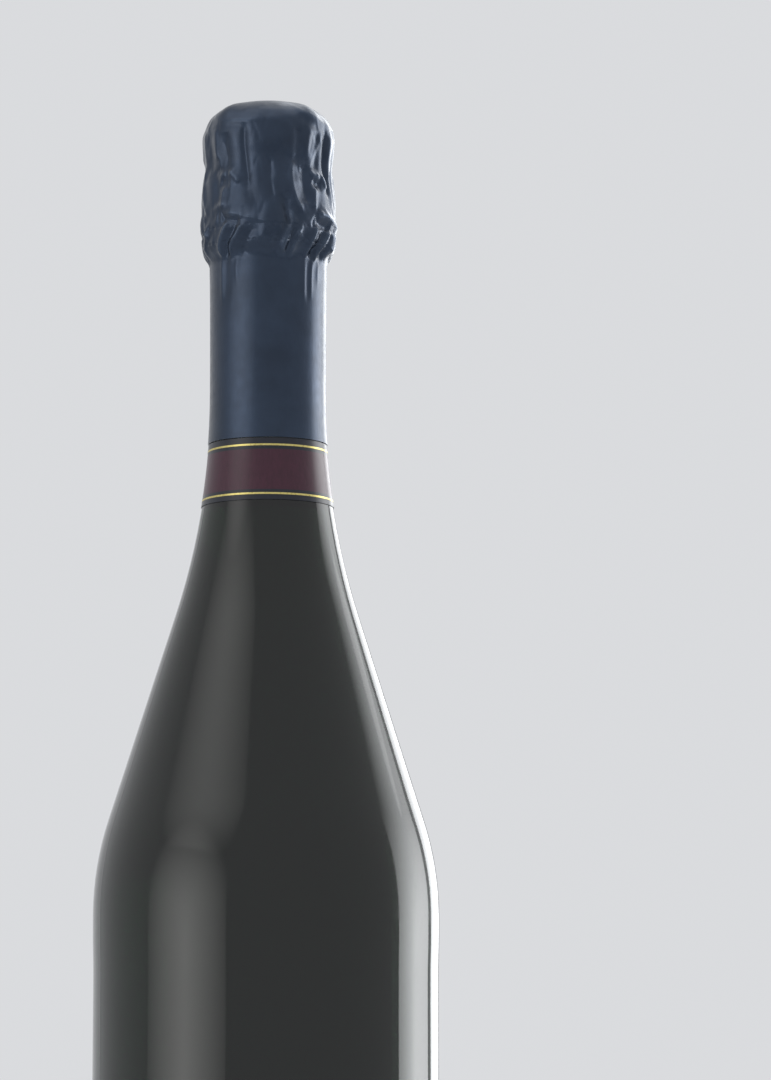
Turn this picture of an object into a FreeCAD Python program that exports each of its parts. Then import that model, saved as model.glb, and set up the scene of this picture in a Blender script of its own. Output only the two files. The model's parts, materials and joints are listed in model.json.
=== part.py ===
import FreeCAD, Part
import Sketcher
import math
import os
import re

# A sealed champagne bottle with its wine, cork, wire cage and foil.
# Millimetres and degrees. +Z runs up the bottle's axis and the origin is the centre of its foot ring.
# The cage's twisted loop lies towards +Y, and its four legs stand midway between the X and Y axes.

SIZES = {
    # Glass, outside
    "bottle_height": 308.0,  # foot ring to lip
    "body_diameter": 88.8,  # over the two contact bands, at the heel and at the shoulder
    "label_recess": 0.3,  # how far the label panel lies inside the contact bands
    "recess_ramp": 8.0,  # height over which the panel runs out to a band
    "foot_width": 4.25,  # of the flat ring that the bottle stands on
    "heel_radius": 9.0,
    "heel_band": 16.0,  # top of the lower contact band
    "shoulder_band": 2.5,  # height of the upper contact band
    "shoulder_radius": 80.0,
    "shoulder_angle": 17.75,  # of the straight shoulder, from the axis
    "flare_radius": 190.0,  # shoulder into neck
    "neck_length": 53.0,  # top of the flare to the lip
    "neck_diameter": 29.4,
    "ring_reach": 0.9,  # how far the bead that the cage grips under stands out from the neck
    "ring_under": 2.4,  # height of the bead below its widest point
    "ring_over": 3.6,  # and above it
    "groove_depth": 1.3,  # of the groove between the bead and the lip, in from the neck
    "groove_height": 1.5,
    "lip_step": 1.0,  # how far the lip stands out from the groove
    "lip_height": 6.4,
    "lip_round": 1.8,
    "mouth_round": 1.0,
    # Glass, inside
    "bore_diameter": 17.5,
    "bore_length": 32.0,
    "bore_flare": 6.0,
    "neck_bore_diameter": 19.8,
    "body_wall": 4.4,
    "punt_height": 33.0,
    "punt_tip_radius": 11.0,
    "base_wall": 6.5,
    "inner_heel_radius": 8.0,
    # Wine
    "fill_drop": 23.0,  # top of the flare down to the wine
    "wine_gap": 0.3,
    # Neck band of paper
    "band_height": 16.2,
    "band_gap": 0.2,  # foil to band
    "band_wall": 0.12,
    "paper_gap": 0.05,
    # Cork
    "cork_depth": 26.0,  # below the lip
    "cork_disc_height": 5.0,
    "cork_gap": 0.05,  # shank to bore
    "disc_gap": 0.02,  # glue line between the cork's pieces
    "head_height": 20.0,  # above the lip
    "head_top_diameter": 26.0,
    "head_foot_diameter": 25.4,
    "head_swell": 1.35,  # of the head's side between its foot and its top
    "head_edge": 3.0,  # height of the straight edge inside the plate's rim
    "boss_gap": 0.25,  # from the cork pressed up into the plate's raised middle to the plate
    "seat_gap": 0.3,  # head to lip
    # Cap plate of tinned steel
    "plate_play": 0.3,  # rim to cork
    "plate_wall": 0.3,
    "plate_rim": 3.0,
    "plate_edge_radius": 1.0,
    "plate_groove_width": 2.1,  # of the groove that the cage's crown lies in
    "plate_slope": 1.1,  # how far the raised middle leans in
    "plate_rise": 2.2,
    "plate_dome_radius": 45.0,
    "plate_gap": 0.05,  # cork to plate, and plate to wire
    # Wire cage
    "cage_gap": 0.1,  # wire to what it lies against
    "crown_wire": 1.0,
    "leg_wire": 1.1,  # over the twisted pair
    "leg_slack": 0.2,  # leg to cork
    "leg_splay": 11.0,  # height over which a leg bends out over the bead
    "leg_splay_drop": 9.0,  # lip down to the foot of that bend
    "leg_bend_share": 0.85,  # of the way from leg to crown that is taken up by the bend
    "leg_turn_angle": 45.0,
    "belt_wire": 0.9,
    "belt_gap": 0.35,  # bead down to the belt
    "eye_wire": 0.8,
    "eye_angle": 95.0,
    # Twisted loop
    "loop_out": 0.3,  # how far its root bends outside the legs
    "loop_rise": 1.3,  # belt up to that bend
    "loop_bend_wire": 1.7,  # across the bend
    "loop_bend_width": 2.1,
    "loop_stem": 5.0,
    "loop_stem_wire": 1.5,
    "loop_eye_radius": 2.6,
    "loop_eye_wire": 1.0,
    "loop_root_gap": 0.4,
    # Foil
    "foil_wall": 0.2,
    "foil_lay": 0.35,  # glass to the foil's outside
    "foil_tail": 13.2,  # top of the flare down to the foil's lower edge
    "crimp_height": 3.7,
    "tear_slack": 0.5,  # legs to the foil's outside at the line where it tears
    "tear_below": 0.3,  # belt down to that line
    "strip_height": 4.0,
    "bulge_slack": 0.9,  # legs to the foil's outside at its fullest
    "bulge_rise": 2.0,  # tear strip up to there
    "waist_slack": 1.1,  # legs to the foil's outside at its waist
    "waist_rise": 5.5,  # lip up to there
    "capsule_slack": 1.7,  # legs to the foil's outside at the cork's head
    "capsule_edge_drop": 4.0,  # cork's top down to the foot of the foil's rounded edge
    "capsule_edge_radius": 7.6,
    "crest_disc_diameter": 22.0,
    "crest_radius": 36.0,
    "crest_slack": 0.85,  # plate to foil
    # Pocket of foil over the loop
    "pocket_room": 3.2,  # loop's root to the pocket's outside
    "pocket_radius": 8.4,
    "pocket_top_radius": 4.6,
    "pocket_rise": 23.0,
    "pocket_fall": 6.0,
    "pocket_foot_radius": 2.8,
    # Pull tab of the tear strip
    "tab_gap": 0.2,
    "tab_wall": 0.3,
    "tab_inset": 0.4,
    "tab_angle": 30.0,
    "tab_turn_angle": 122.0,
    # Shared by all cuts
    "overrun": 5.0,
}
FULL_TURN = 360
LEG_COUNT = 4
LEFT = 1
RIGHT = -1

doc = FreeCAD.newDocument("champagne_bottle")
sheet = doc.addObject("Spreadsheet::Sheet", "Sizes")
for row, (alias, size) in enumerate(SIZES.items(), start=1):
    sheet.set(f"A{row}", alias)
    sheet.set(f"B{row}", str(size))
    sheet.setAlias(f"B{row}", alias)
doc.recompute()


def value(text):
    """The number that a sum of the sheet's sizes comes to."""
    return float(sheet.evalExpression(text))


def tie(obj, target, text):
    """Binds a property or constraint of an object to a sum of the sheet's sizes."""
    words = re.sub(r"[a-z_]+", lambda word: f"Sizes.{word[0]}" if word[0] in SIZES else word[0], text)
    obj.setExpression(target, words)


def place(obj, x="0", y="0", z="0", rotation=FreeCAD.Rotation()):
    """Puts an object at a place given in the sheet's sizes."""
    obj.Placement = FreeCAD.Placement(FreeCAD.Vector(value(x), value(y), value(z)), rotation)
    for axis, text in zip("xyz", (x, y, z)):
        tie(obj, f"Placement.Base.{axis}", text)


def arc_centre(start, end, radius, side):
    """Centre of the shorter arc of this radius from start to end, to the left or right of the way."""
    chord = end - start
    across = FreeCAD.Vector(-chord.y, chord.x, 0).normalize()
    return (start + end) * 0.5 + across * side * math.sqrt(radius**2 - (chord.Length / 2) ** 2)


def draw(sketch, outline, closed=True):
    """Draws straight runs and arcs through the outline's corners and ties them all to the sheet.

    A corner is (x, y), reached by a straight run, or (x, y, radius, side), reached by an arc.
    """
    points = [FreeCAD.Vector(value(corner[0]), value(corner[1]), 0) for corner in outline]
    count = len(outline) if closed else len(outline) - 1
    ends = []
    for i in range(count):
        after = (i + 1) % len(outline)
        start, end = points[i], points[after]
        if len(outline[after]) == 2:
            run = sketch.addGeometry(Part.LineSegment(start, end))
            ends.append(((run, 1), (run, 2)))
            continue
        radius, side = outline[after][2:]
        centre = arc_centre(start, end, value(radius), side)
        first, last = (start, end) if side == LEFT else (end, start)
        angles = [math.atan2(p.y - centre.y, p.x - centre.x) for p in (first, last)]
        circle = Part.Circle(centre, FreeCAD.Vector(0, 0, 1), value(radius))
        run = sketch.addGeometry(Part.ArcOfCircle(circle, angles[0], angles[1]))
        ends.append(((run, 1), (run, 2)) if side == LEFT else ((run, 2), (run, 1)))
        tied = sketch.addConstraint(Sketcher.Constraint("Radius", run, value(radius)))
        tie(sketch, f"Constraints[{tied}]", radius)
    for i in range(count if closed else count - 1):
        sketch.addConstraint(Sketcher.Constraint("Coincident", *ends[i][1], *ends[(i + 1) % count][0]))
    for i, corner in enumerate(outline):
        at = ends[i][0] if i < count else ends[-1][1]
        for kind, axis, text in (("DistanceX", -2, corner[0]), ("DistanceY", -1, corner[1])):
            if text == "0":
                sketch.addConstraint(Sketcher.Constraint("PointOnObject", *at, axis))
                continue
            tied = sketch.addConstraint(Sketcher.Constraint(kind, -1, 1, *at, value(text)))
            tie(sketch, f"Constraints[{tied}]", text)


def new_sketch(body, name, role):
    """An empty sketch on one of the body's own origin planes."""
    sketch = body.newObject("Sketcher::SketchObject", name)
    plane = [feature for feature in body.Origin.OriginFeatures if feature.Role == role][0]
    sketch.AttachmentSupport = (plane, [""])
    sketch.MapMode = "FlatFace"
    return sketch


def turned(label, outline, angle=str(FULL_TURN)):
    """A body turned from a closed outline of (radius, height) corners about the bottle's axis."""
    body = doc.addObject("PartDesign::Body", label)
    sketch = new_sketch(body, f"{label}_outline", "XZ_Plane")
    draw(sketch, outline)
    feature = body.newObject("PartDesign::Revolution", f"{label}_turned")
    feature.Profile = (sketch, [""])
    feature.ReferenceAxis = (sketch, ["V_Axis"])
    tie(feature, "Angle", angle)
    return body


def primitive(kind, name, **sizes):
    """A Part primitive whose named properties are tied to the sheet."""
    obj = doc.addObject(f"Part::{kind}", name)
    for target, text in sizes.items():
        tie(obj, target, text)
    return obj


def combined(kind, label, base, tool):
    """One object made by a boolean of two."""
    obj = doc.addObject(f"Part::{kind}", label)
    obj.Base = base
    obj.Tool = tool
    return obj


def fused(label, pieces):
    """One object made of several that run into each other."""
    obj = doc.addObject("Part::MultiFuse", label)
    obj.Shapes = pieces
    return obj


# Radii and heights that several pieces share
BODY = "(body_diameter / 2)"
NECK = "(neck_diameter / 2)"
LIP = "bottle_height"
LIP_FOOT = "(bottle_height - lip_height)"
GROOVE = f"({NECK} - groove_depth)"
RING = f"({NECK} + ring_reach)"
RING_HEIGHT = f"({LIP_FOOT} - groove_height - ring_over)"
BORE = "(bore_diameter / 2)"
TURN_IN = "(1 - cos(shoulder_angle))"
TURN_UP = "sin(shoulder_angle)"
PUNT_FOOT = f"({BODY} - heel_radius - foot_width)"
PUNT_CENTRE = "(punt_height - punt_tip_radius)"
# The punt's side runs from the foot ring up to touch the round tip
PUNT_ANGLE = (
    f"(acos(punt_tip_radius / sqrt({PUNT_FOOT} ^ 2 + {PUNT_CENTRE} ^ 2))"
    f" - atan({PUNT_CENTRE} / {PUNT_FOOT}))"
)


class Shoulder:
    """Shoulder and neck of one skin of the glass: an arc in, a straight slope and an arc up the neck.

    inset moves a skin in from the outside of the body, and neck is that skin's radius up the neck.
    The outside's foot lies where the neck's length leaves it, and the other skins start level with it.
    """

    def __init__(self, inset, neck, foot=None):
        self.body = f"({BODY} - {inset})"
        self.neck = neck
        self.in_radius = f"(shoulder_radius - {inset})"
        self.up_radius = f"(flare_radius + {NECK} - {neck})"
        slope_foot = f"({self.body} - {self.in_radius} * {TURN_IN})"
        slope_top = f"({neck} + {self.up_radius} * {TURN_IN})"
        arc_rise = f"({self.in_radius} * {TURN_UP})"
        slope_rise = f"(({slope_foot} - {slope_top}) / tan(shoulder_angle))"
        flare_rise = f"({self.up_radius} * {TURN_UP})"
        self.foot = foot or f"({LIP} - neck_length - {flare_rise} - {slope_rise} - {arc_rise})"
        self.slope_foot = (slope_foot, f"({self.foot} + {arc_rise})")
        self.slope_top = (slope_top, f"({self.foot} + {arc_rise} + {slope_rise})")
        self.neck_height = f"({self.foot} + {arc_rise} + {slope_rise} + {flare_rise})"

    def flare(self, height, outwards="0"):
        """Radius of the flare at a height, or of a skin that lies outwards of it."""
        reach = f"({self.up_radius} - {outwards})"
        return f"({self.neck} + {self.up_radius} - sqrt({reach} ^ 2 - ({self.neck_height} - {height}) ^ 2))"


OUTSIDE = Shoulder("0", NECK)
INSIDE = Shoulder("body_wall", "(neck_bore_diameter / 2)", OUTSIDE.foot)
WINE = Shoulder("(body_wall + wine_gap)", "(neck_bore_diameter / 2 - wine_gap)", OUTSIDE.foot)
FLARE_TOP = f"({LIP} - neck_length)"


class Floor:
    """Inside of the base: up over the punt and round the heel, some way above the punt's outside."""

    def __init__(self, above, wall):
        self.tip_radius = f"(punt_tip_radius + {above})"
        self.tip = f"(punt_height + {above})"
        self.side_top = (
            f"({self.tip_radius} * cos({PUNT_ANGLE}))",
            f"({PUNT_CENTRE} + {self.tip_radius} * sin({PUNT_ANGLE}))",
        )
        centre = f"({wall} - inner_heel_radius)"
        drop = f"(({centre} - {self.side_top[0]}) * cos({PUNT_ANGLE}) - inner_heel_radius)"
        self.heel_height = f"({self.side_top[1]} - {drop} / sin({PUNT_ANGLE}))"
        self.side_foot = (
            f"({centre} - inner_heel_radius * cos({PUNT_ANGLE}))",
            f"({self.heel_height} - inner_heel_radius * sin({PUNT_ANGLE}))",
        )


def bulge_radius(reach, half_height):
    """Radius of an arc that swells by reach, upright at its fullest, over half a height."""
    return f"((({reach}) ^ 2 + ({half_height}) ^ 2) / (2 * ({reach})))"


def bottle():
    punt_side = f"(punt_tip_radius * cos({PUNT_ANGLE}))"
    punt_side_height = f"({PUNT_CENTRE} + punt_tip_radius * sin({PUNT_ANGLE}))"
    panel = f"({BODY} - label_recess)"
    lip = f"({GROOVE} + lip_step)"
    floor = Floor("base_wall", INSIDE.body)
    return turned("bottle", [
        # Punt, foot ring, heel and label panel
        ("0", "punt_height"),
        (punt_side, punt_side_height, "punt_tip_radius", RIGHT),
        (PUNT_FOOT, "0"),
        (f"({BODY} - heel_radius)", "0"),
        (BODY, "heel_radius", "heel_radius", LEFT),
        (BODY, "heel_band"),
        (panel, "heel_band + recess_ramp"),
        (panel, f"{OUTSIDE.foot} - shoulder_band - recess_ramp"),
        (BODY, f"{OUTSIDE.foot} - shoulder_band"),
        # Shoulder and neck
        (BODY, OUTSIDE.foot),
        (*OUTSIDE.slope_foot, OUTSIDE.in_radius, LEFT),
        OUTSIDE.slope_top,
        (NECK, FLARE_TOP, OUTSIDE.up_radius, RIGHT),
        # Bead and lip
        (NECK, f"{RING_HEIGHT} - ring_under"),
        (RING, RING_HEIGHT, bulge_radius("ring_reach", "ring_under"), LEFT),
        (GROOVE, f"{RING_HEIGHT} + ring_over", bulge_radius(f"{RING} - {GROOVE}", "ring_over"), LEFT),
        (GROOVE, LIP_FOOT),
        (lip, f"{LIP_FOOT} + lip_step", "lip_step", LEFT),
        (lip, f"{LIP} - lip_round"),
        (f"{lip} - lip_round", LIP, "lip_round", LEFT),
        # Bore and inside of the neck and shoulder
        (f"{BORE} + mouth_round", LIP),
        (BORE, f"{LIP} - mouth_round", "mouth_round", LEFT),
        (BORE, f"{LIP} - bore_length"),
        (INSIDE.neck, f"{LIP} - bore_length - bore_flare"),
        (INSIDE.neck, INSIDE.neck_height),
        (*INSIDE.slope_top, INSIDE.up_radius, LEFT),
        INSIDE.slope_foot,
        (INSIDE.body, INSIDE.foot, INSIDE.in_radius, RIGHT),
        # Inside of the base
        (INSIDE.body, floor.heel_height),
        (*floor.side_foot, "inner_heel_radius", RIGHT),
        floor.side_top,
        ("0", floor.tip, floor.tip_radius, LEFT),
    ])


def wine():
    floor = Floor("(base_wall + wine_gap)", WINE.body)
    surface = f"({FLARE_TOP} - fill_drop)"
    return turned("wine", [
        ("0", surface),
        ("0", floor.tip),
        (*floor.side_top, floor.tip_radius, RIGHT),
        floor.side_foot,
        (WINE.body, floor.heel_height, "inner_heel_radius", LEFT),
        (WINE.body, WINE.foot),
        (*WINE.slope_foot, WINE.in_radius, LEFT),
        WINE.slope_top,
        (WINE.flare(surface), surface, WINE.up_radius, RIGHT),
    ])


FOIL_BOTTOM = f"({FLARE_TOP} - foil_tail)"


def neck_band():
    top = f"({FOIL_BOTTOM} - band_gap)"
    bottom = f"({top} - band_height)"
    inner = "paper_gap"
    outer = "(paper_gap + band_wall)"
    return turned("neck_band", [
        (OUTSIDE.flare(bottom, inner), bottom, f"{OUTSIDE.up_radius} - {inner}", LEFT),
        (OUTSIDE.flare(bottom, outer), bottom),
        (OUTSIDE.flare(top, outer), top, f"{OUTSIDE.up_radius} - {outer}", RIGHT),
        (OUTSIDE.flare(top, inner), top),
    ])


# Lines of the cork and its cap plate
SHANK = f"({BORE} - cork_gap)"
CORK_BOTTOM = f"({LIP} - cork_depth)"
HEAD_FOOT = f"({LIP} + seat_gap)"
HEAD_TOP = f"({LIP} + head_height)"
HEAD_EDGE = f"({HEAD_TOP} - head_edge)"
PLATE = "(head_top_diameter / 2 + plate_play + plate_wall)"
PLATE_FLOOR = f"({HEAD_TOP} + plate_gap)"
PLATE_TOP = f"({PLATE_FLOOR} + plate_wall)"
GROOVE_WALL = f"({PLATE} - plate_edge_radius - plate_groove_width)"
MIDDLE = f"({GROOVE_WALL} - plate_slope)"
DOME_RISE = f"(plate_dome_radius - sqrt(plate_dome_radius ^ 2 - {MIDDLE} ^ 2))"


def cork_body():
    shank_bottom = f"({CORK_BOTTOM} + 2 * (cork_disc_height + disc_gap))"
    foot = "(head_foot_diameter / 2)"
    top = "(head_top_diameter / 2)"
    half_chord = f"(sqrt(({top} - {foot}) ^ 2 + ({HEAD_EDGE} - {HEAD_FOOT}) ^ 2) / 2)"
    boss = f"({HEAD_TOP} + plate_rise - boss_gap)"
    return turned("cork_body", [
        ("0", shank_bottom),
        (SHANK, shank_bottom),
        (SHANK, HEAD_FOOT),
        (foot, HEAD_FOOT),
        (top, HEAD_EDGE, bulge_radius("head_swell", half_chord), LEFT),
        (top, f"{HEAD_TOP} - plate_edge_radius"),
        (f"{top} - plate_edge_radius", HEAD_TOP, "plate_edge_radius", LEFT),
        (f"{GROOVE_WALL} - plate_wall - boss_gap", HEAD_TOP),
        (f"{MIDDLE} - plate_wall - boss_gap", boss),
        ("0", boss),
    ])


def cork_disc(label, index):
    """One of the two natural cork discs glued under the shank, counted from the bottom."""
    disc = primitive("Cylinder", label, Radius=SHANK, Height="cork_disc_height")
    place(disc, z=f"{CORK_BOTTOM} + {index} * (cork_disc_height + disc_gap)")
    return disc


def cap_plate():
    middle_top = f"({PLATE_TOP} + plate_rise)"
    return turned("cap_plate", [
        ("0", f"{middle_top} + {DOME_RISE} - plate_wall"),
        ("0", f"{middle_top} + {DOME_RISE}"),
        (MIDDLE, middle_top, "plate_dome_radius", RIGHT),
        (GROOVE_WALL, PLATE_TOP),
        (f"{PLATE} - plate_edge_radius", PLATE_TOP),
        (PLATE, f"{PLATE_TOP} - plate_edge_radius", "plate_edge_radius", RIGHT),
        (PLATE, f"{PLATE_TOP} - plate_rim"),
        (f"{PLATE} - plate_wall", f"{PLATE_TOP} - plate_rim"),
        (f"{PLATE} - plate_wall", f"{PLATE_TOP} - plate_edge_radius"),
        (f"{PLATE} - plate_edge_radius", PLATE_FLOOR, "plate_edge_radius - plate_wall", LEFT),
        (f"{GROOVE_WALL} - plate_wall", PLATE_FLOOR),
        (f"{MIDDLE} - plate_wall", f"{middle_top} - plate_wall"),
    ])


# Lines of the wire cage
CROWN = f"({GROOVE_WALL} + plate_groove_width / 2)"
CROWN_HEIGHT = f"({PLATE_TOP} + max(crown_wire; leg_wire) / 2 + plate_gap)"
BELT = f"({NECK} + belt_wire / 2 + cage_gap)"
BELT_HEIGHT = f"({RING_HEIGHT} - ring_under - belt_gap - belt_wire / 2)"
HEAD_SIDE = "((head_foot_diameter + head_top_diameter) / 4 + head_swell)"
LEG_HEAD = f"(max({HEAD_SIDE}; {PLATE}) + leg_slack + leg_wire / 2)"
LEG_FOOT = f"(max({BELT} + belt_wire / 2; {RING}) + cage_gap + leg_wire / 2)"


def cage_crown():
    crown = primitive("Torus", "cage_crown", Radius1=CROWN, Radius2="crown_wire / 2")
    place(crown, z=CROWN_HEIGHT)
    return crown


def leg_angle(index):
    return value("leg_turn_angle") + index * FULL_TURN / LEG_COUNT


def cage_leg(label, index):
    """A twisted pair of wires from the belt up over the bead, along the cork and in to the crown."""
    body = doc.addObject("PartDesign::Body", label)
    path = new_sketch(body, f"{label}_path", "XZ_Plane")
    splay_foot = f"({LIP} - leg_splay_drop)"
    step = f"({LEG_FOOT} - {LEG_HEAD})"
    splay_radius = f"(({step} ^ 2 + leg_splay ^ 2) / (4 * abs({step})))"
    first, second = (LEFT, RIGHT) if value(step) > 0 else (RIGHT, LEFT)
    crown_side = f"({CROWN} + crown_wire / 2 + cage_gap)"
    bend_radius = f"(({LEG_HEAD} - {crown_side}) * leg_bend_share)"
    draw(path, [
        (LEG_FOOT, BELT_HEIGHT),
        (LEG_FOOT, splay_foot),
        (f"({LEG_FOOT} + {LEG_HEAD}) / 2", f"{splay_foot} + leg_splay / 2", splay_radius, first),
        (LEG_HEAD, f"{splay_foot} + leg_splay", splay_radius, second),
        (LEG_HEAD, f"{CROWN_HEIGHT} - {bend_radius}"),
        (f"{LEG_HEAD} - {bend_radius}", CROWN_HEIGHT, bend_radius, LEFT),
        (crown_side, CROWN_HEIGHT),
    ], closed=False)
    section = new_sketch(body, f"{label}_section", "XY_Plane")
    tie(section, "AttachmentOffset.Base.z", BELT_HEIGHT)
    middle = FreeCAD.Vector(value(LEG_FOOT), 0, 0)
    section.addGeometry(Part.Circle(middle, FreeCAD.Vector(0, 0, 1), value("leg_wire / 2")))
    section.addConstraint(Sketcher.Constraint("PointOnObject", 0, 3, -1))
    tied = section.addConstraint(Sketcher.Constraint("DistanceX", -1, 1, 0, 3, value(LEG_FOOT)))
    tie(section, f"Constraints[{tied}]", LEG_FOOT)
    tied = section.addConstraint(Sketcher.Constraint("Radius", 0, value("leg_wire / 2")))
    tie(section, f"Constraints[{tied}]", "leg_wire / 2")
    pipe = body.newObject("PartDesign::AdditivePipe", f"{label}_pipe")
    pipe.Profile = (section, [""])
    pipe.Spine = (path, [f"Edge{i + 1}" for i in range(path.GeometryCount)])
    body.Placement.Rotation = FreeCAD.Rotation(FreeCAD.Vector(0, 0, 1), leg_angle(index))
    return body


def cage_eyes():
    """The four legs' ends, each hooked down round the outside of the belt and under it."""
    hooks = []
    for index in range(LEG_COUNT):
        angle = leg_angle(index)
        hook = primitive("Torus", f"cage_eye_{index + 1}", Radius1=f"{LEG_FOOT} - {BELT}",
                         Radius2="eye_wire / 2", Angle3="eye_angle")
        about = FreeCAD.Rotation(FreeCAD.Vector(0, 0, 1), angle)
        down = FreeCAD.Rotation(FreeCAD.Vector(1, 0, 0), -90)
        place(hook, f"{BELT} * cos({angle})", f"{BELT} * sin({angle})", BELT_HEIGHT, about * down)
        hooks.append(hook)
    group = doc.addObject("Part::Compound", "cage_eyes")
    group.Links = hooks
    return group


LOOP = f"({LEG_FOOT} + leg_wire / 2 + loop_out)"
LOOP_HEIGHT = f"({BELT_HEIGHT} + loop_rise)"


def cage_belt():
    """The wire under the bead, with the start of its twisted ends."""
    belt = primitive("Torus", "belt_wire_ring", Radius1=BELT, Radius2="belt_wire / 2")
    place(belt, z=BELT_HEIGHT)
    reach = f"({LOOP} - {BELT})"
    length = f"(sqrt({reach} ^ 2 + loop_rise ^ 2) - loop_bend_wire / 2 - loop_root_gap)"
    twist = primitive("Cylinder", "belt_twist", Radius="belt_wire / 2", Height=length)
    lean = math.degrees(math.atan2(value(reach), value("loop_rise")))
    place(twist, y=BELT, z=BELT_HEIGHT, rotation=FreeCAD.Rotation(FreeCAD.Vector(-1, 0, 0), lean))
    return fused("cage_belt", [belt, twist])


def cage_loop():
    """The finger loop, folded up against the neck: its bend, its twisted stem and its eye."""
    bend = primitive("Cylinder", "loop_bend", Radius="loop_bend_wire / 2", Height="loop_bend_width")
    along = FreeCAD.Rotation(FreeCAD.Vector(0, 1, 0), 90)
    place(bend, x="-loop_bend_width / 2", y=LOOP, z=LOOP_HEIGHT, rotation=along)
    stem = primitive("Cylinder", "loop_stem_wires", Radius="loop_stem_wire / 2", Height="loop_stem")
    place(stem, y=LOOP, z=LOOP_HEIGHT)
    eye = primitive("Torus", "loop_eye", Radius1="loop_eye_radius", Radius2="loop_eye_wire / 2")
    upright = FreeCAD.Rotation(FreeCAD.Vector(1, 0, 0), 90)
    place(eye, y=LOOP, z=f"{LOOP_HEIGHT} + loop_stem + loop_eye_radius", rotation=upright)
    return fused("cage_loop", [bend, stem, eye])


# Lines of the foil
TEAR = f"({BELT_HEIGHT} - tear_below)"
STRIP_TOP = f"({TEAR} + strip_height)"
LEGS = f"({LEG_FOOT} + leg_wire / 2)"
HEAD_LEGS = f"({LEG_HEAD} + leg_wire / 2)"
BULGE = f"({LEGS} + bulge_slack)"
CREST_DISC = "(crest_disc_diameter / 2)"
CREST = f"({PLATE_TOP} + plate_rise + {DOME_RISE} + crest_slack + foil_wall)"
POCKET = f"({LOOP} + pocket_room - pocket_radius)"


def foil_skin(label, inset):
    """Everything inside one skin of the foil, the outer one or one that lies inset from it."""
    crest_drop = f"(crest_radius - sqrt(crest_radius ^ 2 - {CREST_DISC} ^ 2))"
    lay = f"(foil_lay - {inset})"
    below = FOIL_BOTTOM if inset == "0" else f"({FOIL_BOTTOM} - overrun)"
    skin = turned(f"{label}_turned", [
        ("0", below),
        (OUTSIDE.flare(below, lay), below),
        (f"{NECK} + {lay}", FLARE_TOP, f"{OUTSIDE.up_radius} - {lay}", RIGHT),
        (f"{NECK} + {lay}", f"{TEAR} - crimp_height"),
        (f"{LEGS} + tear_slack - {inset}", TEAR),
        (f"{BULGE} - {inset}", f"{STRIP_TOP} + bulge_rise"),
        (f"{HEAD_LEGS} + waist_slack - {inset}", f"{LIP} + waist_rise"),
        (f"{HEAD_LEGS} + capsule_slack - {inset}", f"{HEAD_TOP} - capsule_edge_drop"),
        (CREST_DISC, f"{CREST} - {crest_drop} - {inset}", f"capsule_edge_radius - {inset}", LEFT),
        ("0", f"{CREST} - {inset}", f"crest_radius - {inset}", LEFT),
    ])
    wide = f"pocket_radius - {inset}"
    over = primitive("Cone", f"{label}_pocket", Radius1=wide, Radius2=f"pocket_top_radius - {inset}",
                     Height="pocket_rise")
    place(over, y=POCKET, z=TEAR)
    under = primitive("Cone", f"{label}_pocket_foot", Radius1=f"pocket_foot_radius - {inset}", Radius2=wide,
                      Height="pocket_fall")
    place(under, y=POCKET, z=f"{TEAR} - pocket_fall")
    return fused(label, [skin, over, under])


def foil_pieces():
    """The foil as one skin, cut at the tear line, above the tear strip and round the crest disc."""
    outside = foil_skin("foil_outside", "0")
    inside = foil_skin("foil_inside", "foil_wall")
    shell = combined("Cut", "foil_shell", outside, inside)
    wide = f"{LOOP} + pocket_room + overrun"
    crest_core = primitive("Cylinder", "crest_core", Radius=CREST_DISC, Height=f"{CREST} - {HEAD_EDGE}")
    place(crest_core, z=HEAD_EDGE)
    lower = primitive("Cylinder", "below_tear", Radius=wide, Height=TEAR)
    middle = primitive("Cylinder", "at_strip", Radius=wide, Height="strip_height")
    place(middle, z=TEAR)
    upper = primitive("Cylinder", "above_strip", Radius=wide, Height=f"{CREST} - {STRIP_TOP}")
    place(upper, z=STRIP_TOP)
    capsule = combined("Common", "capsule_shell", shell, upper)
    return [
        combined("Common", "foil_skirt", shell, lower),
        combined("Common", "tear_strip", shell, middle),
        combined("Cut", "foil_head", capsule, crest_core),
        combined("Common", "foil_disc", shell, crest_core),
    ]


def pull_tab():
    """The tear strip's end, folded back over it: a tongue and the round of its fold."""
    inside = f"({BULGE} + tab_gap)"
    bottom = f"({TEAR} + tab_inset)"
    top = f"({STRIP_TOP} - tab_inset)"
    tongue = turned("tab_tongue", [
        (inside, bottom),
        (f"{inside} + tab_wall", bottom),
        (f"{inside} + tab_wall", top),
        (inside, top),
    ], "tab_angle")
    tongue.Placement.Rotation = FreeCAD.Rotation(FreeCAD.Vector(0, 0, 1), value("tab_turn_angle"))
    fold = primitive("Cylinder", "tab_fold", Radius="tab_wall / 2", Height=f"{top} - {bottom}")
    middle = f"({inside} + tab_wall / 2)"
    place(fold, f"{middle} * cos(tab_turn_angle)", f"{middle} * sin(tab_turn_angle)", bottom)
    return fused("pull_tab", [tongue, fold])


nodes = [
    bottle(),
    wine(),
    neck_band(),
    cork_disc("cork_disc_lower", 0),
    cork_disc("cork_disc_upper", 1),
    cork_body(),
    cap_plate(),
    cage_crown(),
    *[cage_leg(f"cage_leg_{index + 1}", index) for index in range(LEG_COUNT)],
    cage_eyes(),
    cage_belt(),
    cage_loop(),
    *foil_pieces(),
    pull_tab(),
]
doc.recompute()

for obj in doc.Objects:
    if {"Invalid", "Error"} & set(obj.State):
        raise RuntimeError(f"{obj.Label} did not build: {obj.State}")
for node in nodes:
    if node.Shape.isNull() or not node.Shape.isValid() or not node.Shape.Solids:
        raise RuntimeError(f"{node.Label} is not a sound solid")

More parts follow.
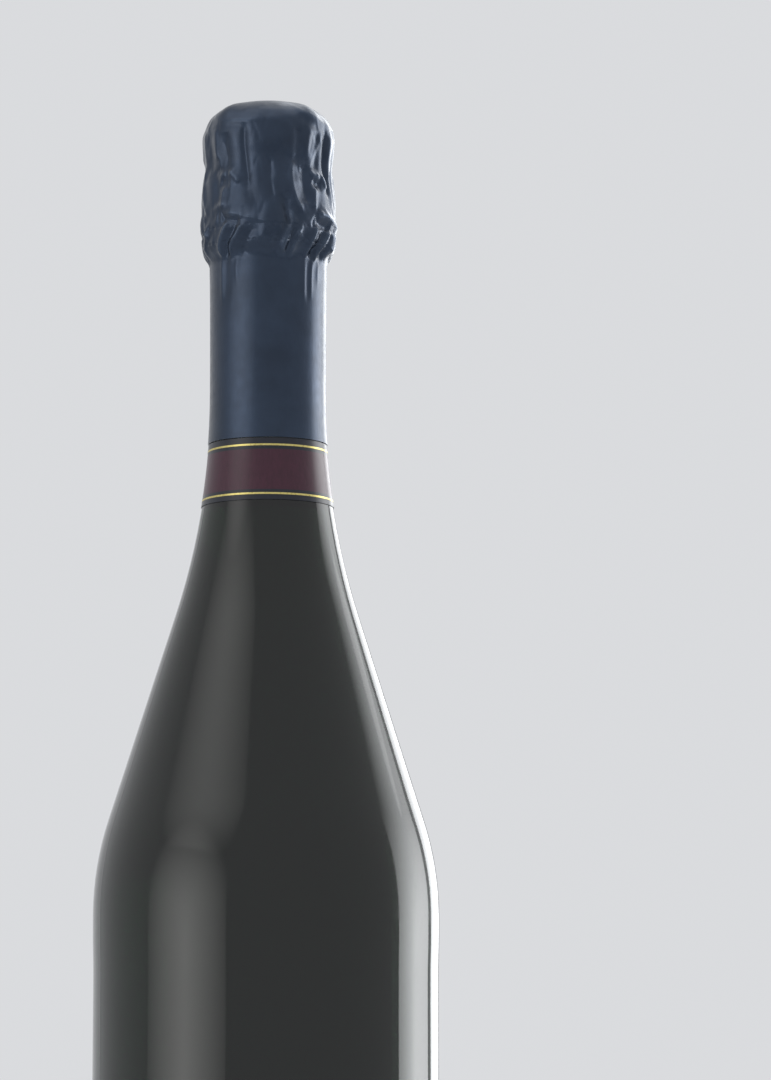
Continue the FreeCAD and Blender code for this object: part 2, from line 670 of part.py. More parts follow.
os.makedirs("parts", exist_ok=True)
for node in nodes:
    node.Shape.exportStep(f"parts/{node.Label}.step")
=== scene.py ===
import json
import math

import bmesh
import bpy
import numpy as np
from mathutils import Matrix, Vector
from mathutils.geometry import delaunay_2d_cdt


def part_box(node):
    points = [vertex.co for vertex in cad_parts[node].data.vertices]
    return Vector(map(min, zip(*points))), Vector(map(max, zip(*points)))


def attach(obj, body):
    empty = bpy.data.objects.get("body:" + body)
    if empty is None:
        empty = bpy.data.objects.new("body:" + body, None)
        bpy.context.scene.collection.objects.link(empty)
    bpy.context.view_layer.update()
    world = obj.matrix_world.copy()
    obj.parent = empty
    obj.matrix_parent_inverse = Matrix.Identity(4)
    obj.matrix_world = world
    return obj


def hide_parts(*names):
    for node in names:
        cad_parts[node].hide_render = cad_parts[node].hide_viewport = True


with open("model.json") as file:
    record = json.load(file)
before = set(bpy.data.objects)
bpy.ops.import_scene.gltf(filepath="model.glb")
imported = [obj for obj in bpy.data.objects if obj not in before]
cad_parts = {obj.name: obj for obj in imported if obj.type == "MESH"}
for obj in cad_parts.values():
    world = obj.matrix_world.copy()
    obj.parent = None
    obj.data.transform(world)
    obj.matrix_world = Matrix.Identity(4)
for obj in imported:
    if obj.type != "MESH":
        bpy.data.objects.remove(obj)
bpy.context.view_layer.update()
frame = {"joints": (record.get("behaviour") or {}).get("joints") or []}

# A sealed champagne bottle: glass, wine, paper band, crinkled foil, wire cage and cork.
# Shapes are worked out in millimetres in the frame's own axes and handed over in metres.
MM = 0.001
LEFT, RIGHT = 1, -1
rng = np.random.default_rng(20)


# Sizes and places that the frame gives
def extent(node):
    """A node's reach along +X and its lowest and highest places, to a hundredth of a millimetre."""
    low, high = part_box(node)
    return [round(value / MM, 2) for value in (high.x, low.z, high.z)]


BODY, _, LIP = extent("bottle")
_, _, FILL = extent("wine")
_, BAND_BOTTOM, BAND_TOP = extent("neck_band")
_, FOIL_BOTTOM, _ = extent("foil_skirt")
_, STRIP_BOTTOM, STRIP_TOP = extent("tear_strip")
DISC_EDGE, _, _ = extent("foil_disc")
_, TAB_BOTTOM, TAB_TOP = extent("pull_tab")
SHANK, _, _ = extent("cork_disc_lower")
_, SHANK_BOTTOM, _ = extent("cork_body")
PLATE, _, _ = extent("cap_plate")
CROWN_REACH, CROWN_BOTTOM, CROWN_TOP = extent("cage_crown")
_, BELT_HEIGHT, _ = extent("cage_leg_1")
HINGES = {joint["name"]: np.array(joint["pos_m"]) / MM for joint in frame["joints"] if "pos_m" in joint}
LEG_AZIMUTHS = (45.0, 135.0, 225.0, 315.0)
LOOP_AZIMUTH = 90.0


# Meshes
def add_piece(name, shape, body, materials, node=None, sharp_angle=40.0, kinds=None):
    """A closed mesh that rides on a body and stands for a CAD node, if one is named.

    shape is vertices in millimetres and faces, and kinds says which of the materials each face has.
    """
    verts, faces = shape
    mesh = bpy.data.meshes.new(name)
    mesh.from_pydata((np.asarray(verts, float) * MM).tolist(), [], faces)
    for material in materials:
        mesh.materials.append(material)
    if kinds is not None:
        mesh.polygons.foreach_set("material_index", np.asarray(kinds, np.int32))
    mesh.shade_smooth()
    work = bmesh.new()
    work.from_mesh(mesh)
    bmesh.ops.recalc_face_normals(work, faces=work.faces)
    for edge in work.edges:
        one_kind = len({face.material_index for face in edge.link_faces}) == 1
        edge.smooth = one_kind and edge.calc_face_angle(0) < math.radians(sharp_angle)
    work.to_mesh(mesh)
    work.free()
    obj = bpy.data.objects.new(name, mesh)
    bpy.context.scene.collection.objects.link(obj)
    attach(obj, body)
    if node:
        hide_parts(node)
    return obj


ARC_SAG = 0.015


def arc_points(start, end, radius, side):
    """Points after start on the shorter arc to end, with its centre left or right of the way."""
    start, end = np.array(start, float), np.array(end, float)
    chord = end - start
    length = np.hypot(*chord)
    across = np.array([-chord[1], chord[0]]) / length
    centre = (start + end) / 2 + across * side * math.sqrt(max(radius**2 - length**2 / 4, 0))
    first = math.atan2(*(start - centre)[::-1])
    turned = side * 2 * math.asin(min(1, length / 2 / radius))
    count = max(3, math.ceil(abs(turned) / (2 * math.acos(1 - ARC_SAG / radius))))
    angles = first + turned * np.arange(1, count + 1) / count
    return [tuple(centre + radius * np.array([math.cos(a), math.sin(a)])) for a in angles]


def trace(corners, longest=3.0):
    """An outline of (radius, height) points through corners, each reached by a run or an arc."""
    points = [tuple(corners[0])]
    for corner in corners[1:]:
        if len(corner) == 4:
            points += arc_points(points[-1], corner[:2], *corner[2:])
            continue
        start, end = np.array(points[-1]), np.array(corner, float)
        count = max(1, math.ceil(np.hypot(*(end - start)) / longest))
        points += [tuple(start + (end - start) * i / count) for i in range(1, count + 1)]
    return points


def around(count, extra=()):
    """Azimuths evenly round the axis, with more where extra asks for them."""
    even = np.arange(count) * 360 / count
    return np.unique(np.round(np.concatenate([even, np.mod(extra, 360)]), 5))


def around_axis(azimuths, radius, height):
    """Points on a grid of rows by azimuths round the axis, as one list."""
    angle = np.radians(azimuths)[None, :]
    return np.stack([radius * np.cos(angle), radius * np.sin(angle), height], axis=-1).reshape(-1, 3)


def ring_faces(rows, cols, first=0, closed=False):
    """Faces of rows of cols points, numbered from first, where each row is a ring."""
    faces = []
    for row in range(rows if closed else rows - 1):
        here, there = first + row * cols, first + (row + 1) % rows * cols
        faces += [(here + c, here + (c + 1) % cols, there + (c + 1) % cols, there + c) for c in range(cols)]
    return faces


def pole_faces(pole, first, cols):
    """Faces between a ring of cols points, numbered from first, and one point on the axis."""
    return [(pole, first + c, first + (c + 1) % cols) for c in range(cols)]


def turn(outline, azimuths, ring=False, shape=None):
    """Vertices and faces of an outline turned about the axis.

    A ring's outline closes on itself; another starts and ends on the axis. shape may move each
    point: it takes azimuths in degrees, radii and heights, and gives new radii and heights.
    """
    outline = np.asarray(outline, float)
    inner = outline if ring else outline[1:-1]
    rows, cols = len(inner), len(azimuths)
    radius, height = (np.repeat(inner[:, i:i + 1], cols, axis=1) for i in range(2))
    if shape is not None:
        radius, height = shape(azimuths[None, :], radius, height)
    verts = around_axis(azimuths, radius, height)
    faces = ring_faces(rows, cols, closed=ring)
    if not ring:
        top = len(verts)
        verts = np.vstack([verts, [[0, 0, outline[0, 1]], [0, 0, outline[-1, 1]]]])
        faces += pole_faces(top, 0, cols) + pole_faces(top + 1, top - cols, cols)
    return verts, faces


def spline(x, y, at):
    """Cubic interpolation through y at x, with slopes taken from the neighbours."""
    x, y, at = (np.asarray(v, float) for v in (x, y, at))
    slope = np.gradient(y, x)
    i = np.clip(np.searchsorted(x, at, side="right") - 1, 0, len(x) - 2)
    h = x[i + 1] - x[i]
    t = (at - x[i]) / h
    keep = (2 * t**3 - 3 * t**2 + 1) * y[i] + (t**3 - 2 * t**2 + t) * h * slope[i]
    return keep + (3 * t**2 - 2 * t**3) * y[i + 1] + (t**3 - t**2) * h * slope[i + 1]


def lengths_along(points):
    """The distance of each point from the first, along the line through them all."""
    return np.concatenate([[0], np.cumsum(np.linalg.norm(np.diff(points, axis=0), axis=1))])


def smooth_line(points, step):
    """A smooth line through points, in evenly spaced steps."""
    points = np.asarray(points, float)
    reach = lengths_along(points)
    at = np.linspace(0, reach[-1], max(4, int(reach[-1] / step) + 1))
    return np.stack([spline(reach, points[:, i], at) for i in range(points.shape[1])], axis=1)


def smoothstep(low, high, value):
    """0 at low, 1 at high and beyond, and eased between them."""
    t = np.clip((value - low) / (high - low), 0, 1)
    return t * t * (3 - 2 * t)


def between(value, rise, fall):
    """1 between two eased ends, and 0 outside them."""
    return smoothstep(*rise, value) * smoothstep(*fall, value)


CAP_ANGLES = np.radians([15, 40, 65])
ANY_SIDE = (0.3, 0.5, 0.81)


def tube(line, radius, sides, closed=False):
    """A round wire along a line, with rounded ends where it doesn't close on itself."""
    line = np.asarray(line, float)
    radii = np.full(len(line), radius)
    ahead = (np.roll(line, -1, 0) - np.roll(line, 1, 0)) if closed else np.gradient(line, axis=0)
    ahead /= np.linalg.norm(ahead, axis=1)[:, None]
    if not closed:
        start = line[0] - radius * np.outer(np.cos(CAP_ANGLES), ahead[0])
        end = line[-1] + radius * np.outer(np.cos(CAP_ANGLES[::-1]), ahead[-1])
        line = np.vstack([start, line, end])
        ahead = np.vstack([[ahead[0]] * len(start), ahead, [ahead[-1]] * len(end)])
        radii = np.concatenate([radius * np.sin(CAP_ANGLES), radii, radius * np.sin(CAP_ANGLES[::-1])])
    side = np.cross(ahead[0], ANY_SIDE)
    across = []
    for direction in ahead:
        side = side - direction * (side @ direction)
        side = side / np.linalg.norm(side)
        across.append(side)
    across = np.array(across)
    over = np.cross(ahead, across)
    if closed:
        slip = math.atan2(across[0] @ over[-1], across[0] @ across[-1])
        eased = (slip * np.arange(len(line)) / len(line))[:, None]
        across, over = (across * np.cos(eased) + over * np.sin(eased),
                        over * np.cos(eased) - across * np.sin(eased))
    spin = (np.arange(sides) * 2 * math.pi / sides)[None, :, None]
    rings = np.cos(spin) * across[:, None] + np.sin(spin) * over[:, None]
    verts = (line[:, None] + radii[:, None, None] * rings).reshape(-1, 3)
    faces = ring_faces(len(line), sides, closed=closed)
    if not closed:
        faces += [tuple(range(sides)), tuple(range(len(verts) - sides, len(verts)))]
    return verts, faces


def joined(parts):
    """Several closed shapes as one list of vertices and faces."""
    verts, faces, offset = [], [], 0
    for part_verts, part_faces in parts:
        verts.append(part_verts)
        faces += [tuple(i + offset for i in face) for face in part_faces]
        offset += len(part_verts)
    return np.vstack(verts), faces


# Materials
EVEN = (1, 1, 1)
NOISE_LOW, NOISE_HIGH = 0.3, 0.7


class Paint:
    """A material's nodes, built round one Principled shader."""

    def __init__(self, name):
        self.material = bpy.data.materials.new(name)
        self.material.use_nodes = True
        self.nodes = self.material.node_tree.nodes
        self.shader = self.nodes["Principled BSDF"]
        self.place = self.node("ShaderNodeTexCoord").outputs["Object"]

    def node(self, kind, **settings):
        node = self.nodes.new(kind)
        for key, setting in settings.items():
            setattr(node, key, setting)
        return node

    def link(self, source, target):
        self.material.node_tree.links.new(source, target)

    def set(self, **values):
        for key, setting in values.items():
            self.shader.inputs[key.replace("_", " ")].default_value = setting
        return self

    def noise(self, size, detail, stretch=EVEN, roughness=0.5):
        """Noise whose features are about size millimetres across."""
        mapping = self.node("ShaderNodeMapping")
        mapping.inputs["Scale"].default_value = stretch
        self.link(self.place, mapping.inputs["Vector"])
        node = self.node("ShaderNodeTexNoise")
        node.inputs["Scale"].default_value = 1 / (size * MM)
        node.inputs["Detail"].default_value = detail
        node.inputs["Roughness"].default_value = roughness
        self.link(mapping.outputs["Vector"], node.inputs["Vector"])
        return node.outputs["Fac"]

    def cells(self, size, feature="F1"):
        """Cells about size millimetres across."""
        node = self.node("ShaderNodeTexVoronoi", feature=feature)
        node.inputs["Scale"].default_value = 1 / (size * MM)
        self.link(self.place, node.inputs["Vector"])
        return node

    def ramp(self, source, stops):
        """A colour that follows a source through stops."""
        node = self.node("ShaderNodeValToRGB")
        elements = node.color_ramp.elements
        while len(elements) < len(stops):
            elements.new(0.5)
        for element, (position, colour) in zip(elements, stops):
            element.position = position
            element.color = (*colour, 1)
        self.link(source, node.inputs["Fac"])
        return node.outputs["Color"]

    def shades(self, source, dark, light):
        """A colour between two that follows noise."""
        return self.ramp(source, [(NOISE_LOW, dark), (NOISE_HIGH, light)])

    def mix(self, share, first, second):
        """first where share is 0 and second where it is 1."""
        node = self.node("ShaderNodeMix", data_type="RGBA")
        self.link(share, node.inputs[0])
        for socket, source in ((node.inputs[6], first), (node.inputs[7], second)):
            if isinstance(source, bpy.types.NodeSocket):
                self.link(source, socket)
            else:
                socket.default_value = (*source, 1)
        return node.outputs[2]

    def spread(self, source, low, high, start=NOISE_LOW, end=NOISE_HIGH):
        """A number from low to high as the source goes from start to end."""
        node = self.node("ShaderNodeMapRange")
        for key, setting in (("From Min", start), ("From Max", end), ("To Min", low), ("To Max", high)):
            node.inputs[key].default_value = setting
        self.link(source, node.inputs["Value"])
        return node.outputs["Result"]

    def height(self, low, high):
        """0 below one height in millimetres and 1 above another."""
        split = self.node("ShaderNodeSeparateXYZ")
        self.link(self.place, split.inputs[0])
        return self.spread(split.outputs["Z"], 0.0, 1.0, low * MM, high * MM)

    def times(self, first, second):
        node = self.node("ShaderNodeMath", operation="MULTIPLY")
        self.link(first, node.inputs[0])
        self.link(second, node.inputs[1])
        return node.outputs[0]

    def bump(self, source, depth, strength=0.5):
        """Bump of a depth in millimetres, laid over what is there already."""
        node = self.node("ShaderNodeBump")
        node.inputs["Distance"].default_value = depth * MM
        node.inputs["Strength"].default_value = strength
        self.link(source, node.inputs["Height"])
        normal = self.shader.inputs["Normal"]
        if normal.links:
            self.link(normal.links[0].from_socket, node.inputs["Normal"])
        self.link(node.outputs["Normal"], normal)

    def colour(self, source):
        self.link(source, self.shader.inputs["Base Color"])

    def roughness(self, source):
        self.link(source, self.shader.inputs["Roughness"])


def glass_paint():
    """Dark green glass, smooth on the body and a little dulled by handling from the shoulder up."""
    paint = Paint("dark_green_glass").set(Transmission_Weight=1.0, IOR=1.52)
    paint.colour(paint.shades(paint.noise(60, 2), (0.011, 0.030, 0.023), (0.016, 0.040, 0.030)))
    handled = paint.height(114, 118)
    scuffs = paint.times(paint.noise(1.2, 6, (1, 1, 0.25), 0.7), handled)
    paint.roughness(paint.spread(scuffs, 0.025, 0.13, 0.3, 0.75))
    paint.bump(paint.noise(26, 2, (1, 1, 0.35)), 0.16)
    paint.bump(paint.noise(3, 2), 0.004)
    return paint.material


def wine_paint():
    paint = Paint("golden_wine").set(Transmission_Weight=1.0, IOR=1.34, Roughness=0.0)
    paint.colour(paint.shades(paint.noise(30, 2), (0.95, 0.82, 0.46), (0.97, 0.86, 0.54)))
    return paint.material


def foil_paint():
    """Navy lacquer on foil, paler along the crests that the mesh marks: rubbed lacquer and a painted
    highlight.
    """
    paint = Paint("navy_foil").set(Metallic=0.85, Coat_Weight=0.35, Coat_Roughness=0.2, Coat_IOR=1.5)
    base = paint.shades(paint.noise(9, 4), (0.017, 0.029, 0.052), (0.025, 0.041, 0.072))
    ridge_rub_and_sheen = paint.node("ShaderNodeAttribute", attribute_name="ridge_rub_and_sheen").outputs["Fac"]
    specks = paint.spread(paint.noise(1.8, 4), 0.4, 1.0, 0.35, 0.6)
    # Crests take a paler navy: partly rubbed lacquer, partly a painted highlight.
    paint.colour(paint.mix(paint.times(ridge_rub_and_sheen, specks), base, (0.042, 0.062, 0.098)))
    paint.roughness(paint.spread(paint.noise(2.2, 5), 0.30, 0.42))
    paint.bump(paint.noise(1.6, 4, (1, 1, 0.55), 0.6), 0.05)
    paint.bump(paint.noise(0.8, 4, (1, 1, 0.16), 0.6), 0.05)
    paint.bump(paint.noise(0.22, 2), 0.006, 0.6)
    return paint.material


def foil_back_paint():
    paint = Paint("bare_foil").set(Metallic=1.0)
    paint.colour(paint.shades(paint.noise(5, 4), (0.62, 0.63, 0.65), (0.74, 0.75, 0.76)))
    paint.roughness(paint.spread(paint.noise(1.5, 4), 0.26, 0.40))
    paint.bump(paint.noise(1.6, 4), 0.04)
    return paint.material


def band_paint():
    """Plum paper with a dark margin along each edge."""
    plum_bottom, plum_top, blur = BAND_BOTTOM + 2.6, BAND_TOP - 3.0, 0.15
    paint = Paint("plum_paper").set(Coat_Weight=0.3, Coat_Roughness=0.15, Specular_IOR_Level=0.3)
    fibres = paint.noise(0.7, 6, (1, 1, 0.3), 0.65)
    plum = paint.shades(fibres, (0.032, 0.004, 0.014), (0.046, 0.007, 0.021))
    dark = paint.shades(fibres, (0.004, 0.006, 0.012), (0.008, 0.010, 0.019))
    low = paint.mix(paint.height(plum_bottom, plum_bottom + blur), dark, plum)
    paint.colour(paint.mix(paint.height(plum_top, plum_top + blur), low, dark))
    paint.roughness(paint.spread(fibres, 0.30, 0.42))
    paint.bump(fibres, 0.012)
    return paint.material


def gold_paint():
    paint = Paint("gold_line").set(Metallic=0.9)
    grain = paint.noise(0.6, 5)
    paint.colour(paint.shades(grain, (0.52, 0.43, 0.14), (0.68, 0.58, 0.22)))
    paint.roughness(paint.spread(grain, 0.25, 0.38))
    paint.bump(grain, 0.006)
    return paint.material


def crumb_cork_paint():
    """Granules of many browns, pressed together with darker glue."""
    crumb = 1.5
    browns = [(0.0, (0.31, 0.175, 0.085)), (0.35, (0.45, 0.285, 0.15)),
              (0.7, (0.54, 0.37, 0.21)), (1.0, (0.61, 0.44, 0.27))]
    paint = Paint("agglomerate_cork")
    shade = paint.node("ShaderNodeSeparateColor")
    paint.link(paint.cells(crumb).outputs["Color"], shade.inputs[0])
    crumbs = paint.ramp(shade.outputs[0], browns)
    edges = paint.cells(crumb, "DISTANCE_TO_EDGE").outputs["Distance"]
    glue = paint.spread(edges, 1.0, 0.0, 0.0, 0.09)
    specks = paint.spread(paint.noise(0.9, 4, roughness=0.7), 0.0, 1.0, 0.62, 0.70)
    paint.colour(paint.mix(specks, paint.mix(glue, crumbs, (0.21, 0.115, 0.055)), (0.13, 0.065, 0.03)))
    paint.roughness(paint.spread(shade.outputs[1], 0.72, 0.9, 0.0, 1.0))
    paint.bump(glue, 0.06, 0.6)
    paint.bump(paint.noise(0.5, 4), 0.05, 0.6)
    return paint.material


def natural_cork_paint():
    """Cork with growth rings and dark pores."""
    paint = Paint("natural_cork")
    rings = paint.noise(5, 4, (0.35, 1.6, 1.0))
    ground = paint.shades(rings, (0.49, 0.32, 0.175), (0.60, 0.425, 0.26))
    pores = paint.spread(paint.noise(1.3, 4, (0.6, 0.6, 2.2), 0.7), 0.0, 1.0, 0.60, 0.68)
    paint.colour(paint.mix(pores, ground, (0.17, 0.09, 0.04)))
    paint.roughness(paint.spread(rings, 0.74, 0.9))
    paint.bump(pores, -0.12, 0.6)
    return paint.material


def metal_paint(name, dark, light, rough, bump):
    paint = Paint(name).set(Metallic=1.0)
    grain = paint.noise(1.4, 6, roughness=0.65)
    paint.colour(paint.shades(grain, dark, light))
    paint.roughness(paint.spread(grain, *rough))
    paint.bump(paint.noise(0.35, 3), bump)
    return paint.material


GLASS = glass_paint()
WINE = wine_paint()
FOIL = foil_paint()
FOIL_BACK = foil_back_paint()
BAND = band_paint()
GOLD = gold_paint()
CRUMB_CORK = crumb_cork_paint()
NATURAL_CORK = natural_cork_paint()
TINPLATE = metal_paint("tinplate", (0.44, 0.44, 0.43), (0.58, 0.58, 0.565), (0.22, 0.36), 0.006)
WIRE = metal_paint("galvanised_wire", (0.29, 0.29, 0.285), (0.45, 0.45, 0.44), (0.26, 0.42), 0.01)

# Bottle: neck, flare, shoulder, walls, bore, heel, foot and punt
NECK, NECK_LENGTH = 14.7, 53.0
FLARE_TOP, FLARE = LIP - NECK_LENGTH, 190.0
SHOULDER, SLOPE = 80.0, math.radians(17.75)
WALL, BASE_WALL = 4.4, 6.5
BORE, BORE_LENGTH, BORE_END, NECK_BORE = 8.75, 32.0, 38.0, 9.9
HEEL, INNER_HEEL, FOOT_WIDTH = 9.0, 8.0, 4.25
FOOT_START, FOOT_END, FOOT_ROUND = (0.9, 1.1), 1.6, 1.2
PUNT_FOOT, PUNT_HEIGHT, PUNT_TIP = BODY - HEEL - FOOT_WIDTH, 33.0, 11.0
PUNT_CENTRE = PUNT_HEIGHT - PUNT_TIP
PUNT_ANGLE = math.acos(PUNT_TIP / math.hypot(PUNT_FOOT, PUNT_CENTRE)) - math.atan(PUNT_CENTRE / PUNT_FOOT)


def shoulder(inset, neck, foot=None):
    """Heights and radii of one skin's shoulder: foot, slope's foot, slope's top and neck."""
    into, up = SHOULDER - inset, FLARE + NECK - neck
    slope_foot = BODY - inset - into * (1 - math.cos(SLOPE))
    slope_top = neck + up * (1 - math.cos(SLOPE))
    rises = (into * math.sin(SLOPE), (slope_foot - slope_top) / math.tan(SLOPE), up * math.sin(SLOPE))
    foot = FLARE_TOP - sum(rises) if foot is None else foot
    return {
        "foot": foot,
        "slope_foot": (slope_foot, foot + rises[0]),
        "slope_top": (slope_top, foot + rises[0] + rises[1]),
        "neck": foot + sum(rises),
        "into": into,
        "up": up,
    }


OUTSIDE = shoulder(0, NECK)
INSIDE = shoulder(WALL, NECK_BORE, OUTSIDE["foot"])


def flare_radius(height, outwards=0.0):
    """Radius of the glass's outside, or of a skin outwards of it, between the shoulder and the neck."""
    drop = np.maximum(FLARE_TOP - height, 0)
    return NECK + FLARE - np.sqrt(np.maximum((FLARE - outwards) ** 2 - drop**2, 0))


def middle_skin(height):
    """A radius between the outside and the inside of the glass, above the heel and below the bead."""
    slope_top, top_height = OUTSIDE["slope_top"]
    slope = slope_top + (top_height - height) * math.tan(SLOPE)
    return np.where(height < top_height, np.minimum(slope, BODY), flare_radius(height)) - WALL / 2


def punt_side(above):
    """Top of the punt's straight side, as radius and height, on a skin above its outside."""
    tip = PUNT_TIP + above
    return tip * math.cos(PUNT_ANGLE), PUNT_CENTRE + tip * math.sin(PUNT_ANGLE)


def floor_corners(above, wall):
    """Inside of the base from the wall in to the axis."""
    side_top = punt_side(above)
    centre, into, down = wall - INNER_HEEL, math.cos(PUNT_ANGLE), math.sin(PUNT_ANGLE)
    heel = side_top[1] - ((centre - side_top[0]) * into - INNER_HEEL) / down
    side_foot = (centre - INNER_HEEL * into, heel - INNER_HEEL * down)
    return [(wall, heel), (*side_foot, INNER_HEEL, RIGHT), side_top,
            (0, PUNT_HEIGHT + above, PUNT_TIP + above, LEFT)]


def swell(reach, half_height):
    """Radius of an arc that bulges by reach over twice half_height."""
    return (reach**2 + half_height**2) / (2 * reach)


# Each wave's height, how many go round the bottle, the rise that turns it by a radian, and its start
WAVES = ((0.03, 2, 31.0, 0.0), (0.018, 3, -17.0, 1.0))
WAVE_RISE, WAVE_FALL = (9.5, 14.0), (290.0, 284.0)
SEAMS, SEAM_HEIGHT, SEAM_WIDTH, SEAM_PROUD_SHARE = (20.0, 200.0), 0.035, 0.25, 0.2
SEAM_STEPS = (-1.2, -0.6, -0.3, -0.15, 0, 0.15, 0.3, 0.6, 1.2)


def off_azimuth(azimuth, place):
    """Degrees from a place round the axis, from -180 to 180."""
    return (azimuth - place + 180) % 360 - 180


def glass_shape(azimuth, radius, height):
    """Slow waves in the outside of the glass, and the two mould seams."""
    angle = np.radians(azimuth)
    relief = 0
    for tall, count, rise, start in WAVES:
        relief = relief + tall * (np.sin(count * angle + height / rise + start) - 1)
    for place in SEAMS:
        off = np.radians(off_azimuth(azimuth, place)) * radius
        relief = relief + SEAM_HEIGHT * np.exp(-((off / SEAM_WIDTH) ** 2))
    relief = relief * between(height, WAVE_RISE, WAVE_FALL)
    radius = np.where(radius > middle_skin(height), radius + relief, radius)
    return np.where(radius > BODY, BODY + (radius - BODY) * SEAM_PROUD_SHARE, radius), height


# Panel on the body, a little sunk, and the mouth: bead, groove, lip and the bore's edge
PANEL_DEPTH, PANEL_EASE, PANEL_BOTTOM, PANEL_MARGIN = 0.2, 7.0, 16.0, 3.0
PANEL, PANEL_EDGE = BODY - PANEL_DEPTH, BODY - PANEL_DEPTH / 2
PANEL_BEND = swell(PANEL_DEPTH / 2, PANEL_EASE)
PANEL_TOP = OUTSIDE["foot"] - PANEL_MARGIN - 2 * PANEL_EASE
LIP_HEIGHT, LIP_STEP, LIP_ROUND, MOUTH_ROUND = 6.4, 1.0, 1.8, 1.0
GROOVE_HEIGHT, GROOVE_DEPTH = 1.5, 1.3
RING_OVER, RING_UNDER, RING_REACH = 3.6, 2.4, 0.9
GROOVE, RING = NECK - GROOVE_DEPTH, NECK + RING_REACH
RING_HEIGHT = LIP - LIP_HEIGHT - GROOVE_HEIGHT - RING_OVER
glass_outline = trace([
    (0, PUNT_HEIGHT),
    (*punt_side(0), PUNT_TIP, RIGHT),
    (PUNT_FOOT + FOOT_START[0], FOOT_START[1]),
    (PUNT_FOOT + FOOT_END, 0.0, FOOT_ROUND, LEFT),
    (BODY - HEEL, 0),
    (BODY, HEEL, HEEL, LEFT),
    (BODY, PANEL_BOTTOM),
    (PANEL_EDGE, PANEL_BOTTOM + PANEL_EASE, PANEL_BEND, LEFT),
    (PANEL, PANEL_BOTTOM + 2 * PANEL_EASE, PANEL_BEND, RIGHT),
    (PANEL, PANEL_TOP),
    (PANEL_EDGE, PANEL_TOP + PANEL_EASE, PANEL_BEND, RIGHT),
    (BODY, PANEL_TOP + 2 * PANEL_EASE, PANEL_BEND, LEFT),
    (BODY, OUTSIDE["foot"]),
    (*OUTSIDE["slope_foot"], OUTSIDE["into"], LEFT),
    OUTSIDE["slope_top"],
    (NECK, FLARE_TOP, OUTSIDE["up"], RIGHT),
    (NECK, RING_HEIGHT - RING_UNDER),
    (RING, RING_HEIGHT, swell(RING_REACH, RING_UNDER), LEFT),
    (GROOVE, RING_HEIGHT + RING_OVER, swell(RING - GROOVE, RING_OVER), LEFT),
    (GROOVE, LIP - LIP_HEIGHT),
    (GROOVE + LIP_STEP, LIP - LIP_HEIGHT + LIP_STEP, LIP_STEP, LEFT),
    (GROOVE + LIP_STEP, LIP - LIP_ROUND),
    (GROOVE + LIP_STEP - LIP_ROUND, LIP, LIP_ROUND, LEFT),
    (BORE + MOUTH_ROUND, LIP),
    (BORE, LIP - MOUTH_ROUND, MOUTH_ROUND, LEFT),
    (BORE, LIP - BORE_LENGTH),
    (NECK_BORE, LIP - BORE_END),
    (NECK_BORE, INSIDE["neck"]),
    (*INSIDE["slope_top"], INSIDE["up"], LEFT),
    INSIDE["slope_foot"],
    (BODY - WALL, INSIDE["foot"], INSIDE["into"], RIGHT),
    *floor_corners(BASE_WALL, BODY - WALL),
])
glass_azimuths = around(240, [place + step for place in SEAMS for step in SEAM_STEPS])
add_piece("bottle_glass", turn(glass_outline, glass_azimuths, shape=glass_shape),
          "bottle", [GLASS], "bottle", 30)

# Wine, which wets the glass and climbs it at its edge, by steps of inset from the glass and climb
WET = 0.04
MENISCUS = ((2.2, 0.02), (1.0, 0.25), (0.3, 0.75), (0.0, 1.3))
wine_skin = shoulder(WALL - WET, NECK_BORE + WET, OUTSIDE["foot"])
edge_drop = wine_skin["neck"] - FILL - MENISCUS[-1][1]
edge_radius = NECK_BORE + WET + wine_skin["up"] - math.sqrt(wine_skin["up"] ** 2 - edge_drop**2)
wine_outline = trace([
    (0, FILL),
    *[(edge_radius - inset, FILL + climb) for inset, climb in MENISCUS],
    (*wine_skin["slope_top"], wine_skin["up"], LEFT),
    wine_skin["slope_foot"],
    (BODY - WALL + WET, wine_skin["foot"], wine_skin["into"], RIGHT),
    *floor_corners(BASE_WALL - WET, BODY - WALL + WET),
])
add_piece("wine_fill", turn(wine_outline, around(180)), "bottle", [WINE], "wine", 60)

# Neck band of paper, with a gold line near each edge and an overlap at the back
PAPER_SKINS, LINE_SKINS = (0.03, 0.17), (0.12, 0.215)
LINE_HEIGHTS, LINE_HALF = {"lower": BAND_BOTTOM + 1.6, "upper": BAND_TOP - 1.8}, 0.24
BAND_LAP, BAND_LAP_RISE, BAND_LAP_FADE = 96.0, 0.1, (24.0, 4.0)
LAP_STEPS = np.array([-0.1, 0.0, 0.1])
BAND_STEP = 0.8


def lapped(azimuth, radius, height):
    """Lifts the paper where its end laps over its start."""
    return radius + BAND_LAP_RISE * smoothstep(*BAND_LAP_FADE, (azimuth - BAND_LAP) % 360), height


def band_ring(bottom, top, skins):
    """A ring on the flare between two skins outwards of the glass."""
    heights = np.linspace(bottom, top, max(4, int((top - bottom) / BAND_STEP)))
    inner, outer = ([(flare_radius(h, skin), h) for h in heights] for skin in skins)
    return turn(outer + inner[::-1], around(192, BAND_LAP + LAP_STEPS), True, lapped)


add_piece("neck_band_paper", band_ring(BAND_BOTTOM, BAND_TOP, PAPER_SKINS),
          "bottle", [BAND], "neck_band")
for label, middle in LINE_HEIGHTS.items():
    line = band_ring(middle - LINE_HALF, middle + LINE_HALF, LINE_SKINS)
    add_piece(f"band_line_{label}", line, "bottle", [GOLD])

